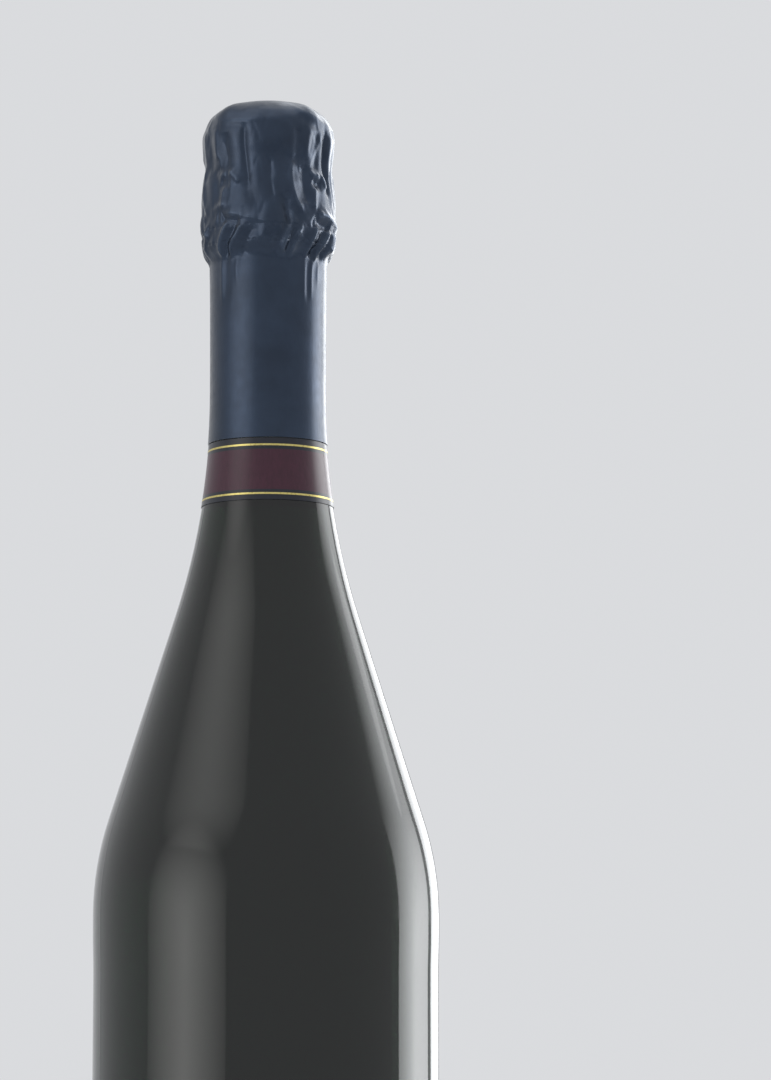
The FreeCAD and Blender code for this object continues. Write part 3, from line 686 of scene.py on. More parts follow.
# Foil: the line that it follows from its crest down, and how far it stands out over the legs
FOIL_WALL, FOIL_LAY = 0.2, 0.35
CIRCUMFERENCE = 107.0
foil_points = np.array([
    # radius, height, lift over a leg
    (0.0, 331.95, 0.0), (3.0, 331.86, 0.0), (6.0, 331.55, 0.0), (8.3, 331.18, 0.0), (10.1, 330.72, 0.1),
    (11.6, 330.12, 0.3), (13.0, 329.3, 0.55), (14.1, 328.52, 0.72), (15.1, 327.6, 0.75),
    (16.15, 326.1, 0.6), (16.8, 324.6, 0.35), (17.1, 322.9, 0.15), (17.12, 320.6, 0.05),
    (16.92, 318.2, 0.0), (16.62, 315.6, 0.0), (16.5, 313.4, 0.0), (16.6, 311.0, 0.0), (16.87, 308.7, 0.0),
    (17.22, 305.5, 0.0), (17.56, 302.3, 0.0), (17.8, 299.2, 0.0), (17.78, 297.2, 0.0), (17.55, 294.6, 0.0),
    (17.34, 292.9, 0.0), (16.75, 291.5, 0.0), (15.75, 290.0, 0.0), (15.35, 288.8, 0.0), (15.24, 286.5, 0.0),
    (15.15, 281.0, 0.0), (15.08, 272.0, 0.0), (15.05, 263.0, 0.0), (15.05, 255.0, 0.0),
    *[(float(flare_radius(h, FOIL_LAY)), h, 0.0) for h in (251.0, 247.0, 244.0, FOIL_BOTTOM)],
])
foil_reach = lengths_along(foil_points[:, :2])


def along_foil(reach):
    """Radius, height and lift at a distance along the foil from its crest."""
    return tuple(spline(foil_reach, foil_points[:, i], reach) for i in range(3))


# Folds: each is a line of (azimuth, height) places, how far it stands out, how wide it is and how round
FRONT_FOLDS = [
    # edge of the crown, and the smooth facets under it
    ([(296, 329.3), (303, 327.3), (313, 326.0), (325, 325.3), (338, 325.0), (348, 325.4)], 0.30, 0.8, 1.3),
    ([(300, 326.0), (312, 324.3), (326, 323.4), (338, 323.2)], -0.22, 1.2, 1.6),
    ([(290, 325.0), (291, 318.0), (292, 313.5)], 0.30, 1.4, 1.3),
    ([(300, 324.0), (299, 318.0), (298, 312.0)], -0.32, 1.7, 1.6),
    ([(308, 324.0), (308, 318.5), (307, 314.0)], 0.26, 1.2, 1.3),
    ([(319, 323.0), (320, 317.0), (319, 311.0)], -0.34, 1.6, 1.5),
    # upright ridge beside the right-hand outline
    ([(333, 324.5), (333, 318.0), (335, 311.0), (337, 304.5)], -0.62, 0.75, 1.2),
    ([(341, 325.0), (341, 318.0), (342, 310.0), (344, 302.5)], 0.34, 1.1, 1.3),
    ([(352, 315.0), (353, 308.0), (356, 301.5)], -0.42, 0.7, 1.2),
    # small hanging swag
    ([(311, 312.2), (315, 310.9), (319, 310.6), (324, 311.2)], 0.45, 0.7, 1.2),
    ([(324, 311.2), (330, 309.6), (335, 307.4)], 0.48, 0.8, 1.2),
    ([(314, 309.3), (320, 308.6), (326, 308.6)], -0.45, 1.0, 1.5),
    # long facets that run down to points
    ([(293, 315.5), (291, 309.0), (296, 303.5), (305, 299.4)], 0.62, 1.1, 1.1),
    ([(305, 314.0), (306, 307.5), (310, 302.0)], -0.55, 1.7, 1.5),
    ([(291, 302.0), (293, 299.0), (300, 293.4)], 0.55, 0.9, 1.1),
    ([(287, 306.0), (288, 300.5), (292, 295.0)], -0.60, 1.2, 1.4),
    # bright facet and the edge that hangs over the bead
    ([(317, 308.0), (315, 303.6), (316, 301.4)], 0.42, 0.9, 1.2),
    ([(314, 301.5), (320, 300.7), (329, 300.3), (338, 299.6), (350, 298.4), (357, 296.6)], 0.50, 1.0, 1.1),
    ([(311, 299.0), (319, 298.2), (328, 297.8), (337, 297.2)], -0.75, 1.3, 1.5),
    # leaning pleats down to the bead's underside
    ([(321, 299.0), (316, 295.6), (311, 291.8), (309, 288.5)], 0.60, 0.6, 1.1),
    ([(336, 297.4), (330, 294.2), (324, 291.2), (321, 288.0)], 0.66, 0.6, 1.1),
    ([(330, 297.2), (325, 294.0), (319, 291.0), (316, 288.3)], -0.62, 0.7, 1.3),
    ([(343, 296.8), (338, 293.8), (333, 291.0), (330, 288.6)], -0.62, 0.7, 1.3),
    ([(352, 296.6), (347, 293.6), (342, 291.4)], 0.40, 1.1, 1.3),
    ([(303, 298.8), (298, 295.0), (294, 291.6), (292, 288.4)], 0.40, 0.7, 1.15),
    ([(299, 297.6), (295, 294.6), (290, 291.5), (288, 288.8)], -0.36, 0.7, 1.3),
    ([(294, 298.0), (289, 295.0), (285, 291.6), (283, 288.4)], 0.36, 0.7, 1.15),
    ([(288, 297.6), (284, 294.6), (279, 291.6), (277, 288.8)], -0.36, 0.8, 1.3),
    # pleats that fade out down the neck
    ([(309, 289.5), (309, 284.0), (309, 277.0)], 0.16, 0.6, 1.2),
    ([(319, 289.5), (318, 285.0), (318, 279.0)], 0.22, 0.6, 1.2),
    ([(314, 289.0), (313.5, 283.0), (313.5, 277.5)], -0.14, 0.9, 1.5),
    ([(329, 289.5), (328, 286.0), (328, 282.0)], 0.14, 0.6, 1.3),
]
DENT = ([(349, 324.4), (350, 323.2), (351, 321.6)], -0.30, 1.0, 1.7)
BOLD_FROM, BOLD_TIMES = 0.3, 1.5
FRONT_START, FRONT_WIDTH = 283.0, 79.0
# Where the front's folds come again round the foil: start, width and whether they are mirrored
REPEATS = ((4.0, 90.0, False), (96.0, 88.0, True), (187.0, 93.0, False))
LEFT_OUT_SHARE, FOLD_ASIDE, FOLD_RISE, PLACE_ASIDE, PLACE_RISE = 0.08, 4, 0.9, 0.8, 0.3
AMOUNT_TIMES, WIDTH_TIMES = (0.9, 1.5), (0.9, 1.25)
# Fine creases: how many, their lowest and highest places and their greatest length
CREASES = ((110, 310, 325, 8.0), (130, 298, 311, 6.0), (120, 289.5, 298, 4.0))
CREASE_HALF, CREASE_LEAN, CREASE_BOW = (0.2, 0.5), 0.4, 1.5
CREASE_AMOUNT, CREASE_WIDTH = (0.04, 0.13), (0.32, 0.55)


def other_folds():
    """Folds of the same kinds over the rest of the foil, which the photograph leaves dark."""
    folds = []
    for start, width, mirrored in REPEATS:
        for places, amount, wide, power in FRONT_FOLDS:
            if rng.random() < LEFT_OUT_SHARE:
                continue
            aside, rise = rng.uniform(-FOLD_ASIDE, FOLD_ASIDE), rng.uniform(-FOLD_RISE, FOLD_RISE)
            moved = []
            for azimuth, height in places:
                share = (azimuth - FRONT_START) / FRONT_WIDTH
                share = 1 - share if mirrored else share
                new_azimuth = start + width * share + aside + rng.uniform(-PLACE_ASIDE, PLACE_ASIDE)
                moved.append((new_azimuth, height + rise + rng.uniform(-PLACE_RISE, PLACE_RISE)))
            new_amount, new_width = amount * rng.uniform(*AMOUNT_TIMES), wide * rng.uniform(*WIDTH_TIMES)
            folds.append((moved, new_amount, new_width, power))
    return folds


def fine_creases():
    """Short sharp creases all over the side, shorter and closer together towards the bead."""
    creases = []
    for count, low, high, longest in CREASES:
        for _ in range(count):
            azimuth, middle = rng.uniform(0, 360), rng.uniform(low, high)
            half = longest * rng.uniform(*CREASE_HALF)
            lean = rng.normal(0, CREASE_LEAN) * half * 360 / CIRCUMFERENCE
            bow = rng.uniform(-CREASE_BOW, CREASE_BOW)
            upper, lower = (azimuth - lean, middle + half), (azimuth + lean, middle - half)
            amount = rng.choice([-1, 1]) * rng.uniform(*CREASE_AMOUNT)
            places = [upper, (azimuth + bow, middle), lower]
            creases.append((places, amount, rng.uniform(*CREASE_WIDTH), 1.0))
    return creases


front_folds = [(places, amount * (BOLD_TIMES if abs(amount) > BOLD_FROM else 1), width, power)
               for places, amount, width, power in FRONT_FOLDS]
FOLDS = [*front_folds, DENT, *other_folds(), *fine_creases()]
FOLD_STEP, FOLD_REACH, CREASE_ROUND = 0.5, 4.5, 0.22
FOLD_END_SHARE, FOLD_END_LEAST = 0.22, 0.12


def fold_heights(azimuths, heights):
    """How far the folds together stand out, each fading towards its ends."""
    grid = np.zeros((len(heights), len(azimuths)))
    for places, amount, width, power in FOLDS:
        line = smooth_line([(a * CIRCUMFERENCE / 360, h) for a, h in places], FOLD_STEP)
        edge = FOLD_REACH * width
        u = off_azimuth(azimuths, places[0][0]) * CIRCUMFERENCE / 360 + line[0, 0]
        rows = np.flatnonzero((heights > line[:, 1].min() - edge) & (heights < line[:, 1].max() + edge))
        cols = np.flatnonzero((u > line[:, 0].min() - edge) & (u < line[:, 0].max() + edge))
        if not len(rows) or not len(cols):
            continue
        gap = (u[cols][None, :, None] - line[:, 0]) ** 2 + (heights[rows][:, None, None] - line[:, 1]) ** 2
        share = gap.argmin(axis=2) / (len(line) - 1)
        fade = np.maximum(between(share, (0, FOLD_END_SHARE), (1, 1 - FOLD_END_SHARE)), FOLD_END_LEAST)
        away = np.sqrt(gap.min(axis=2) + CREASE_ROUND**2) - CREASE_ROUND
        grid[np.ix_(rows, cols)] += amount * fade * np.exp(-((away / width) ** power))
    return grid


FACETS_END, SCATTER_ROUND, SCATTER_DOWN = 75, 0.38, 0.4


def facets(azimuths, reaches, across, down, seed):
    """Flat facets between points scattered round the foil, standing out from -1 to 1."""
    scatter = np.random.default_rng(seed)
    columns = round(CIRCUMFERENCE / across)
    places, levels = [], []
    for row, start in enumerate(np.arange(0, FACETS_END, down)):
        for column in range(columns):
            u = column + 0.5 * (row % 2) + scatter.uniform(-SCATTER_ROUND, SCATTER_ROUND)
            s = start + scatter.uniform(-SCATTER_DOWN, SCATTER_DOWN) * down
            places.append((u * CIRCUMFERENCE / columns % CIRCUMFERENCE, s * across / down))
            levels.append(scatter.uniform(-1, 1))
    repeated = [Vector((u + wrap, s)) for wrap in (0, -CIRCUMFERENCE, CIRCUMFERENCE) for u, s in places]
    points, _, triangles, origins, _, _ = delaunay_2d_cdt(repeated, [], [], 0, 1e-6)
    u_line, s_line = np.mod(azimuths, 360) * CIRCUMFERENCE / 360, reaches * across / down
    result = np.zeros((len(s_line), len(u_line)))
    for triangle in triangles:
        corners = np.array([(*points[i], 1.0) for i in triangle]).T
        low, high = corners.min(axis=1), corners.max(axis=1)
        cols = np.flatnonzero((u_line >= low[0]) & (u_line <= high[0]))
        rows = np.flatnonzero((s_line >= low[1]) & (s_line <= high[1]))
        if not len(cols) or not len(rows) or abs(np.linalg.det(corners)) < 1e-12:
            continue
        u, s = np.meshgrid(u_line[cols], s_line[rows])
        shares = np.tensordot(np.linalg.inv(corners), np.stack([u, s, np.ones_like(u)]), 1)
        level = np.tensordot([levels[origins[i][0] % len(places)] for i in triangle], shares, 1)
        box = np.ix_(rows, cols)
        result[box] = np.where((shares >= -1e-9).all(axis=0), level, result[box])
    return result


def softened(grid, rounds):
    """The grid with its creases rounded off a little."""
    for _ in range(rounds):
        grid = (np.roll(grid, 1, 1) + 2 * grid + np.roll(grid, -1, 1)) / 4
        padded = np.vstack([grid[:1], grid, grid[-1:]])
        grid = (padded[:-2] + 2 * grid + padded[2:]) / 4
    return grid


def soft_greater(first, second, width):
    """The greater of two, rounded off where they meet."""
    h = np.clip(0.5 + 0.5 * (first - second) / width, 0, 1)
    blended = second + (first - second) * h + width * h * (1 - h)
    return np.where(second <= 0, first, blended)


# Relief: facets are across, down and seed; spans of heights, radii or azimuths go from none to whole
BROAD_FACETS, FINE_FACETS, NECK_FACETS = (5.4, 8.5, 4), (2.6, 3.8, 9), (6.0, 18.0, 15)
BROAD, BROAD_LOWER, FINE, NECK_FAINT, CROWN_FAINT = 0.24, 0.26, 0.08, 0.035, 0.06
SIDE, LOW_SIDE, NECK_FOIL = ((287.5, 291.0), (327.5, 324.5)), (315.0, 308.0), (292.0, 288.0)
CROWN_EDGE, CROWN_SIDE = (9.0, 13.0), (323.0, 327.0)
# The right-hand outline keeps most of its plain shape, and the side lies a little lower elsewhere
LIMB, LIMB_WIDTH, LIMB_SIDE, LIMB_CALM_SHARE, SIDE_DROP = -1.5, 7.0, (290.5, 292.0), 0.75, 0.22
FOIL_LAP, FOIL_LAP_RISE, FOIL_LAP_FADE, FOIL_LAP_SIDE = 62.0, 0.13, (22.0, 3.0), (329.0, 325.0)
LEG_WIDTH = 11.0
# Perforated lines that the strip tears along
PERFORATIONS, LINE_DEPTH, CUT_DEPTH, CUT_WIDTH, CUT_SHARPNESS = 60, 0.04, 0.10, 0.3, 4.0
# Flatter bed under the pull tab
BED_AZIMUTHS, BED_HEIGHTS, BED_FLAT_SHARE = ((115, 120), (158, 153)), ((290.5, 292.5), (299.5, 297.5)), 0.85


def foil_relief(azimuths, reaches, radius, height, lift, folds):
    """How far the foil stands out of its plain shape."""
    azimuth = azimuths[None, :]
    side = between(height, *SIDE)
    kinds = (BROAD_FACETS, FINE_FACETS, NECK_FACETS)
    broad, fine, faint = (facets(azimuths, reaches, *kind) for kind in kinds)
    crumple = (broad * (BROAD + BROAD_LOWER * smoothstep(*LOW_SIDE, height)) + fine * FINE) * side
    faint = NECK_FAINT * faint * smoothstep(*NECK_FOIL, height)
    faint = faint + CROWN_FAINT * fine * smoothstep(*CROWN_EDGE, radius) * smoothstep(*CROWN_SIDE, height)
    bulk = folds + softened(crumple, 2) + softened(faint, 3)
    limb = np.exp(-((off_azimuth(azimuth, LIMB) / LIMB_WIDTH) ** 2)) * smoothstep(*LIMB_SIDE, height)
    bulk = bulk * (1 - LIMB_CALM_SHARE * limb) - SIDE_DROP * side * (1 - limb)
    lap = smoothstep(*FOIL_LAP_FADE, (azimuth - FOIL_LAP) % 360)
    bulk = bulk + FOIL_LAP_RISE * lap * smoothstep(*FOIL_LAP_SIDE, height)
    for place in LEG_AZIMUTHS:
        bulk = bulk + lift * np.exp(-((off_azimuth(azimuth, place) / LEG_WIDTH) ** 2))
    cuts = 0.5 + 0.5 * np.tanh(CUT_SHARPNESS * np.sin(np.radians(azimuth) * PERFORATIONS))
    for level in (STRIP_TOP, STRIP_BOTTOM):
        bulk = bulk - (LINE_DEPTH + CUT_DEPTH * cuts) * np.exp(-(((height - level) / CUT_WIDTH) ** 2))
    return bulk * (1 - BED_FLAT_SHARE * between(azimuth, *BED_AZIMUTHS) * between(height, *BED_HEIGHTS))


# Pull tab: its hinge's radius and azimuth, its middle height, half its width and its length
TAB_RADIUS = round(math.hypot(*HINGES["tab_lift"][:2]), 2)
TAB_HINGE = round(math.degrees(math.atan2(HINGES["tab_lift"][1], HINGES["tab_lift"][0])), 2)
TAB_MIDDLE, TAB_HALF, TAB_LENGTH = (TAB_BOTTOM + TAB_TOP) / 2, (TAB_TOP - TAB_BOTTOM) / 2, 9.5
# The foil under the tab's root: its shift from the hinge, its gap, and its half size and slope each way
SEAT_SHIFT, SEAT_GAP, SEAT_ASIDE, SEAT_UP = 1.1, 0.2, (0.25, 1.2), (1.3, 0.8)
# Pocket over the loop: heights, how far it reaches out from a line behind the axis, and how it takes folds
POCKET = ([274.0, 279.0, 283.0, 286.5, 290.0, 294.0, 299.0, 306.0, 316.0, 322.0],
          [0.8, 2.2, 3.6, 5.2, 7.0, 8.1, 7.5, 6.2, 4.3, 2.5])
POCKET_CENTRE, POCKET_FOOT, POCKET_TOP, POCKET_FOLD_SHARE, POCKET_SINK = 12.0, 279.0, 318.0, 0.6, 0.15
# What the foil lies over: glass, bead and belt, and legs with eyes at their feet, as under a tent
BELT, OVER_BELT, BELT_SPAN = 15.25, 16.0, (292.3, 294.6)
GLASS_GAP, GLASS_END, BEAD_HALF = 0.26, 325.0, 3.2
LEG_FOOT, LEG_HEAD, LEG_SPLAY = 16.35, 14.95, (299.0, 310.0)
LEG_HALF, LEG_GAP, LEG_END, EYE_REACH, EYE_FOOT = 0.55, 0.1, 326.5, 1.5, 291.8
TENT_RADIUS, TENT_HALF, TENT_SLOPE = 17.0, 0.35, 0.55


def pocket_radius(azimuth, height, folds):
    """Radius of the pocket over the loop at the back, and about 0 away from it."""
    off = np.radians(off_azimuth(azimuth, LOOP_AZIMUTH))
    ahead, aside = POCKET_CENTRE * np.cos(off), POCKET_CENTRE * np.sin(off)
    wide = spline(*POCKET, height)
    inside = (wide > np.abs(aside)) & (ahead > 0)
    radius = np.where(inside, ahead + np.sqrt(np.maximum(wide**2 - aside**2, 0)), 0)
    radius = radius + POCKET_FOLD_SHARE * (folds - POCKET_SINK)
    return np.where((height > POCKET_FOOT) & (height < POCKET_TOP), radius, 0)


def tab_seat(azimuth, height):
    """Radius of the foil where it is drawn out under the pull tab's root."""
    aside = np.abs(np.radians(off_azimuth(azimuth, TAB_HINGE - SEAT_SHIFT)) * TAB_RADIUS)
    away = ((aside, *SEAT_ASIDE), (np.abs(height - TAB_MIDDLE), *SEAT_UP))
    return TAB_RADIUS - SEAT_GAP - sum(slope * np.maximum(off - half, 0) for off, half, slope in away)


def least_radius(azimuth, height):
    """The least radius that the foil's outside may have over the glass, the belt and the legs."""
    bead = np.clip(1 - np.abs(height - RING_HEIGHT) / BEAD_HALF, 0, 1)
    least = np.where(height < GLASS_END, NECK + GLASS_GAP + RING_REACH * np.sin(bead * math.pi / 2), 0)
    at_belt = (height > BELT_SPAN[0]) & (height < BELT_SPAN[1])
    least = np.where(at_belt, np.maximum(least, OVER_BELT), least)
    eye = BELT + np.sqrt(np.maximum(EYE_REACH**2 - np.maximum(BELT_HEIGHT - height, 0) ** 2, 0))
    leg = LEG_FOOT + (LEG_HEAD - LEG_FOOT) * smoothstep(*LEG_SPLAY, height) + LEG_HALF
    leg = np.where(height < BELT_HEIGHT, eye, leg) + FOIL_WALL + LEG_GAP
    leg = np.where((height < EYE_FOOT) | (height > LEG_END), 0, leg)
    for place in LEG_AZIMUTHS:
        off = np.radians(np.abs(off_azimuth(azimuth, place))) * TENT_RADIUS
        least = np.maximum(least, leg - TENT_SLOPE * np.maximum(off - TENT_HALF, 0))
    return least


SLOPE_STEP = 0.01
POCKET_BLEND, SEAT_BLEND, LEAST_BLEND = 0.9, 0.12, 0.08
# Bend, heights and smoothing rounds for the paler crests, a painted highlight as well as rubbing.
RUB_AND_SHEEN_BEND, RUB_AND_SHEEN_SIDE, RUB_AND_SHEEN_ROUNDS = (0.03, 0.16), (286.0, 291.0), (1, 10)


def foil_surface(azimuths, reaches):
    """Radius, height and paler crests (rubbed lacquer and a painted highlight) of the foil's outside on a
    grid of reaches by azimuths, and its way out.
    """
    azimuth, reach = azimuths[None, :], reaches[:, None]
    plain_radius, plain_height, lift = along_foil(reach)
    ahead, behind = along_foil(reach + SLOPE_STEP), along_foil(np.maximum(reach - SLOPE_STEP, 0))
    slope = np.stack([ahead[0] - behind[0], ahead[1] - behind[1]])
    slope /= np.hypot(*slope)
    out_r, out_z = -slope[1], slope[0]
    folds = softened(fold_heights(azimuths, plain_height[:, 0]), 1)
    bulk = foil_relief(azimuths, reaches, plain_radius, plain_height, lift, folds)
    radius, height = plain_radius + out_r * bulk, plain_height + out_z * bulk
    radius = soft_greater(radius, pocket_radius(azimuth, height, folds), POCKET_BLEND)
    radius = soft_greater(radius, tab_seat(azimuth, height), SEAT_BLEND)
    radius = soft_greater(radius, least_radius(azimuth, height), LEAST_BLEND)
    # Convex crests are marked for the paler colour: rubbed lacquer and a painted highlight.
    bend = softened(radius, RUB_AND_SHEEN_ROUNDS[0]) - softened(radius, RUB_AND_SHEEN_ROUNDS[1])
    ridge_rub_and_sheen = smoothstep(*RUB_AND_SHEEN_BEND, bend) * smoothstep(*RUB_AND_SHEEN_SIDE, plain_height)
    return radius, height, ridge_rub_and_sheen, out_r, out_z


def steps(start, end, size):
    """Places from start to end about size apart, with an even number of steps."""
    return np.linspace(start, end, 2 * max(1, round((end - start) / size / 2)) + 1)


FOIL_AZIMUTHS = around(540, FOIL_LAP + LAP_STEPS)
SMOOTH_FROM, FINE_POINTS = 284.0, 8000
DISC_STEP, HEAD_STEP, STRIP_STEP, SMOOTH_STEP = 0.55, 0.32, 0.28, 0.9
fine_reaches = np.linspace(0, foil_reach[-1], FINE_POINTS)
fine_radii, fine_heights, _ = along_foil(fine_reaches)
disc_reach = fine_reaches[np.argmax(fine_radii >= DISC_EDGE)]
top_reach, bottom_reach, smooth_reach = (
    fine_reaches[np.argmax(fine_heights <= height)] for height in (STRIP_TOP, STRIP_BOTTOM, SMOOTH_FROM))
creased = steps(bottom_reach, smooth_reach, STRIP_STEP)
smooth = steps(smooth_reach, foil_reach[-1], SMOOTH_STEP)
spans = {
    "disc": steps(0, disc_reach, DISC_STEP)[1:],
    "head": steps(disc_reach, top_reach, HEAD_STEP),
    "strip": steps(top_reach, bottom_reach, STRIP_STEP),
    "skirt": np.concatenate([creased, smooth[1:]]),
}
all_reaches = np.unique(np.concatenate(list(spans.values())))
surface = foil_surface(FOIL_AZIMUTHS, all_reaches)


def add_foil(name, span, body, node, pole=False):
    """One piece of the foil as a thin closed sheet, blue outside, and bare and half as fine inside."""
    rows = np.searchsorted(all_reaches, spans[span])
    radius, height, ridge_rub_and_sheen, out_r, out_z = (grid[rows] for grid in surface)
    kept = np.arange(len(rows))[::-2][::-1]
    outer = around_axis(FOIL_AZIMUTHS, radius, height)
    inner = around_axis(FOIL_AZIMUTHS[::2], (radius - out_r * FOIL_WALL)[kept, ::2],
                        (height - out_z * FOIL_WALL)[kept, ::2])
    crest = foil_points[0, 1]
    verts = np.vstack([outer, inner] + ([[[0, 0, crest], [0, 0, crest - FOIL_WALL]]] if pole else []))
    cols, first, last = len(FOIL_AZIMUTHS), len(outer), len(outer) + len(inner)
    inner_cols = len(FOIL_AZIMUTHS[::2])
    outside = ring_faces(len(rows), cols)
    inside = ring_faces(len(kept), inner_cols, first)
    borders = [(first - cols, last - inner_cols)]
    if pole:
        outside += pole_faces(last, 0, cols)
        inside += pole_faces(last + 1, first, inner_cols)
    else:
        borders.append((0, first))
    for a, b in borders:
        inside += [(a + 2 * c, a + 2 * c + 1, a + (2 * c + 2) % cols, b + (c + 1) % inner_cols, b + c)
                   for c in range(inner_cols)]
    kinds = [0] * len(outside) + [1] * len(inside)
    obj = add_piece(name, (verts, outside + inside), body, [FOIL, FOIL_BACK], node, 75, kinds)
    # Paler crests, a painted highlight as well as rubbing, on the outside only.
    ridge_rub_and_sheen_values = np.zeros(len(verts), np.float32)
    ridge_rub_and_sheen_values[:first] = ridge_rub_and_sheen.ravel()
    obj.data.attributes.new("ridge_rub_and_sheen", "FLOAT", "POINT").data.foreach_set("value", ridge_rub_and_sheen_values)


add_foil("foil_skirt_sheet", "skirt", "bottle", "foil_skirt")
add_foil("tear_strip_sheet", "strip", "foil", "tear_strip")
add_foil("foil_head_sheet", "head", "foil", "foil_head")
add_foil("foil_disc_sheet", "disc", "foil", "foil_disc", pole=True)

# Pull tab's fold at its root, as (along, out) points, and how its tongue waves and ripples
TAB_FOLD = [(-0.05, -0.30), (-0.17, -0.26), (-0.24, -0.16), (-0.19, -0.06), (-0.08, -0.01), (0.1, 0.0)]
TAB_START, TAB_ROWS, TAB_COLS, TAB_HALF_WALL, TAB_TIP_LEAST = 0.35, 28, 9, 0.11, 0.2
TAB_WAVE, TAB_TURN = 0.12, 2.6 * math.pi
TAB_RIPPLE, RIPPLE_FROM, RIPPLE_ALONG, RIPPLE_ACROSS = 0.03, 0.3, 1.6, 3


def add_tab():
    """The strip's end, folded back over it and rounded at its tip."""
    share = np.linspace(0, 1, TAB_ROWS)
    along = TAB_START + (TAB_LENGTH - TAB_START) * share
    line = np.vstack([TAB_FOLD, np.stack([along, TAB_WAVE * (np.sin(TAB_TURN * share) + share)], axis=1)])
    ahead = np.gradient(line, axis=0)
    ahead /= np.linalg.norm(ahead, axis=1)[:, None]
    out = np.stack([-ahead[:, 1], ahead[:, 0]], axis=1)
    from_tip = TAB_LENGTH - line[:, 0]
    round_tip = np.sqrt(np.maximum(TAB_HALF**2 - (TAB_HALF - from_tip) ** 2, TAB_TIP_LEAST**2))
    widths = np.where(from_tip < TAB_HALF, round_tip, TAB_HALF)[:, None]
    across = np.linspace(-1, 1, TAB_COLS)[None, :]
    verts = []
    for wall in (TAB_HALF_WALL, -TAB_HALF_WALL):
        along, out_by = ((line + out * wall)[:, i:i + 1] for i in range(2))
        angle = math.radians(TAB_HINGE) + along / TAB_RADIUS
        ripple = TAB_RIPPLE * np.sin(RIPPLE_ALONG * along + RIPPLE_ACROSS * across) * (along > RIPPLE_FROM)
        radius, height = TAB_RADIUS + out_by + ripple, TAB_MIDDLE + widths * across
        points = np.stack([radius * np.cos(angle), radius * np.sin(angle), height], axis=-1)
        verts.append(points.reshape(-1, 3))
    grid = np.arange(len(line) * TAB_COLS).reshape(len(line), TAB_COLS)
    quads = np.stack([grid[:-1, :-1], grid[:-1, 1:], grid[1:, 1:], grid[1:, :-1]], axis=-1).reshape(-1, 4)
    border = np.concatenate([grid[0], grid[1:, -1], grid[-1, -2::-1], grid[-2:0:-1, 0]])
    after = np.roll(border, -1)
    edge = np.stack([border, after, after + grid.size, border + grid.size], axis=-1)
    faces = np.vstack([quads, edge, quads[:, ::-1] + grid.size]).tolist()
    kinds = [0] * (len(quads) + len(edge)) + [1] * len(quads)
    shape = (np.vstack(verts), faces)
    add_piece("pull_tab_tongue", shape, "tab", [FOIL, FOIL_BACK], "pull_tab", 60, kinds)


add_tab()

# Cork: its shank, its mushroom head, the boss under the plate, and the two discs
SHANK_CHAMFER, SHANK_END, SEAT_RADIUS, SEAT = 0.4, LIP - 1.5, 9.3, LIP + 0.3
HEAD_FOOT, HEAD_CORNER = 12.0, (12.75, LIP + 1.0, 0.8, LEFT)
HEAD, HEAD_TOP, HEAD_EDGE, HEAD_ROUND = 13.0, LIP + 20.0, 3.0, 1.0
HEAD_SWELL, HEAD_SWELL_HALF = 1.3, 8.0
BOSS_FOOT, BOSS, BOSS_TOP = 9.9, 8.8, HEAD_TOP + 1.9
# Each wave of the rough surface: how many go round the cork, its turn with height and its start
CORK_WAVES = ((7, 1.7, 0), (13, -2.3, 1), (29, 3.1, 0))
CORK_STEP = 0.8
SLICE_INSET, SLICE_CHAMFER, SLICE_EDGE = 0.02, 0.25, (0.15, 0.2)


def cork_shape(depth):
    """A rough surface that stays inside the plain one."""
    def shape(azimuth, radius, height):
        angle = np.radians(azimuth)
        rough = sum(np.sin(count * angle + rise * height + start) for count, rise, start in CORK_WAVES)
        return radius - depth * (1.5 + 0.5 * rough) * (radius > 1), height
    return shape


cork_outline = trace([
    (0, SHANK_BOTTOM),
    (SHANK - SHANK_CHAMFER, SHANK_BOTTOM),
    (SHANK, SHANK_BOTTOM + SHANK_CHAMFER),
    (SHANK, SHANK_END),
    (SEAT_RADIUS, SEAT),
    (HEAD_FOOT, SEAT),
    HEAD_CORNER,
    (HEAD, HEAD_TOP - HEAD_EDGE, swell(HEAD_SWELL, HEAD_SWELL_HALF), LEFT),
    (HEAD, HEAD_TOP - HEAD_ROUND),
    (HEAD - HEAD_ROUND, HEAD_TOP, HEAD_ROUND, LEFT),
    (BOSS_FOOT, HEAD_TOP),
    (BOSS, BOSS_TOP),
    (0, BOSS_TOP),
], CORK_STEP)
add_piece("cork_agglomerate", turn(cork_outline, around(144), shape=cork_shape(0.02)),
          "cork", [CRUMB_CORK], "cork_body", 50)
for label in ("lower", "upper"):
    radius, bottom, top = extent(f"cork_disc_{label}")
    side = radius - SLICE_INSET
    disc = trace([(0, bottom), (radius - SLICE_CHAMFER, bottom), (side, bottom + SLICE_CHAMFER),
                  (side, top - SLICE_EDGE[1]), (radius - SLICE_EDGE[0], top), (0, top)], CORK_STEP)
    add_piece(f"cork_disc_{label}_slice", turn(disc, around(120), shape=cork_shape(0.012)),
              "cork", [NATURAL_CORK], f"cork_disc_{label}", 50)

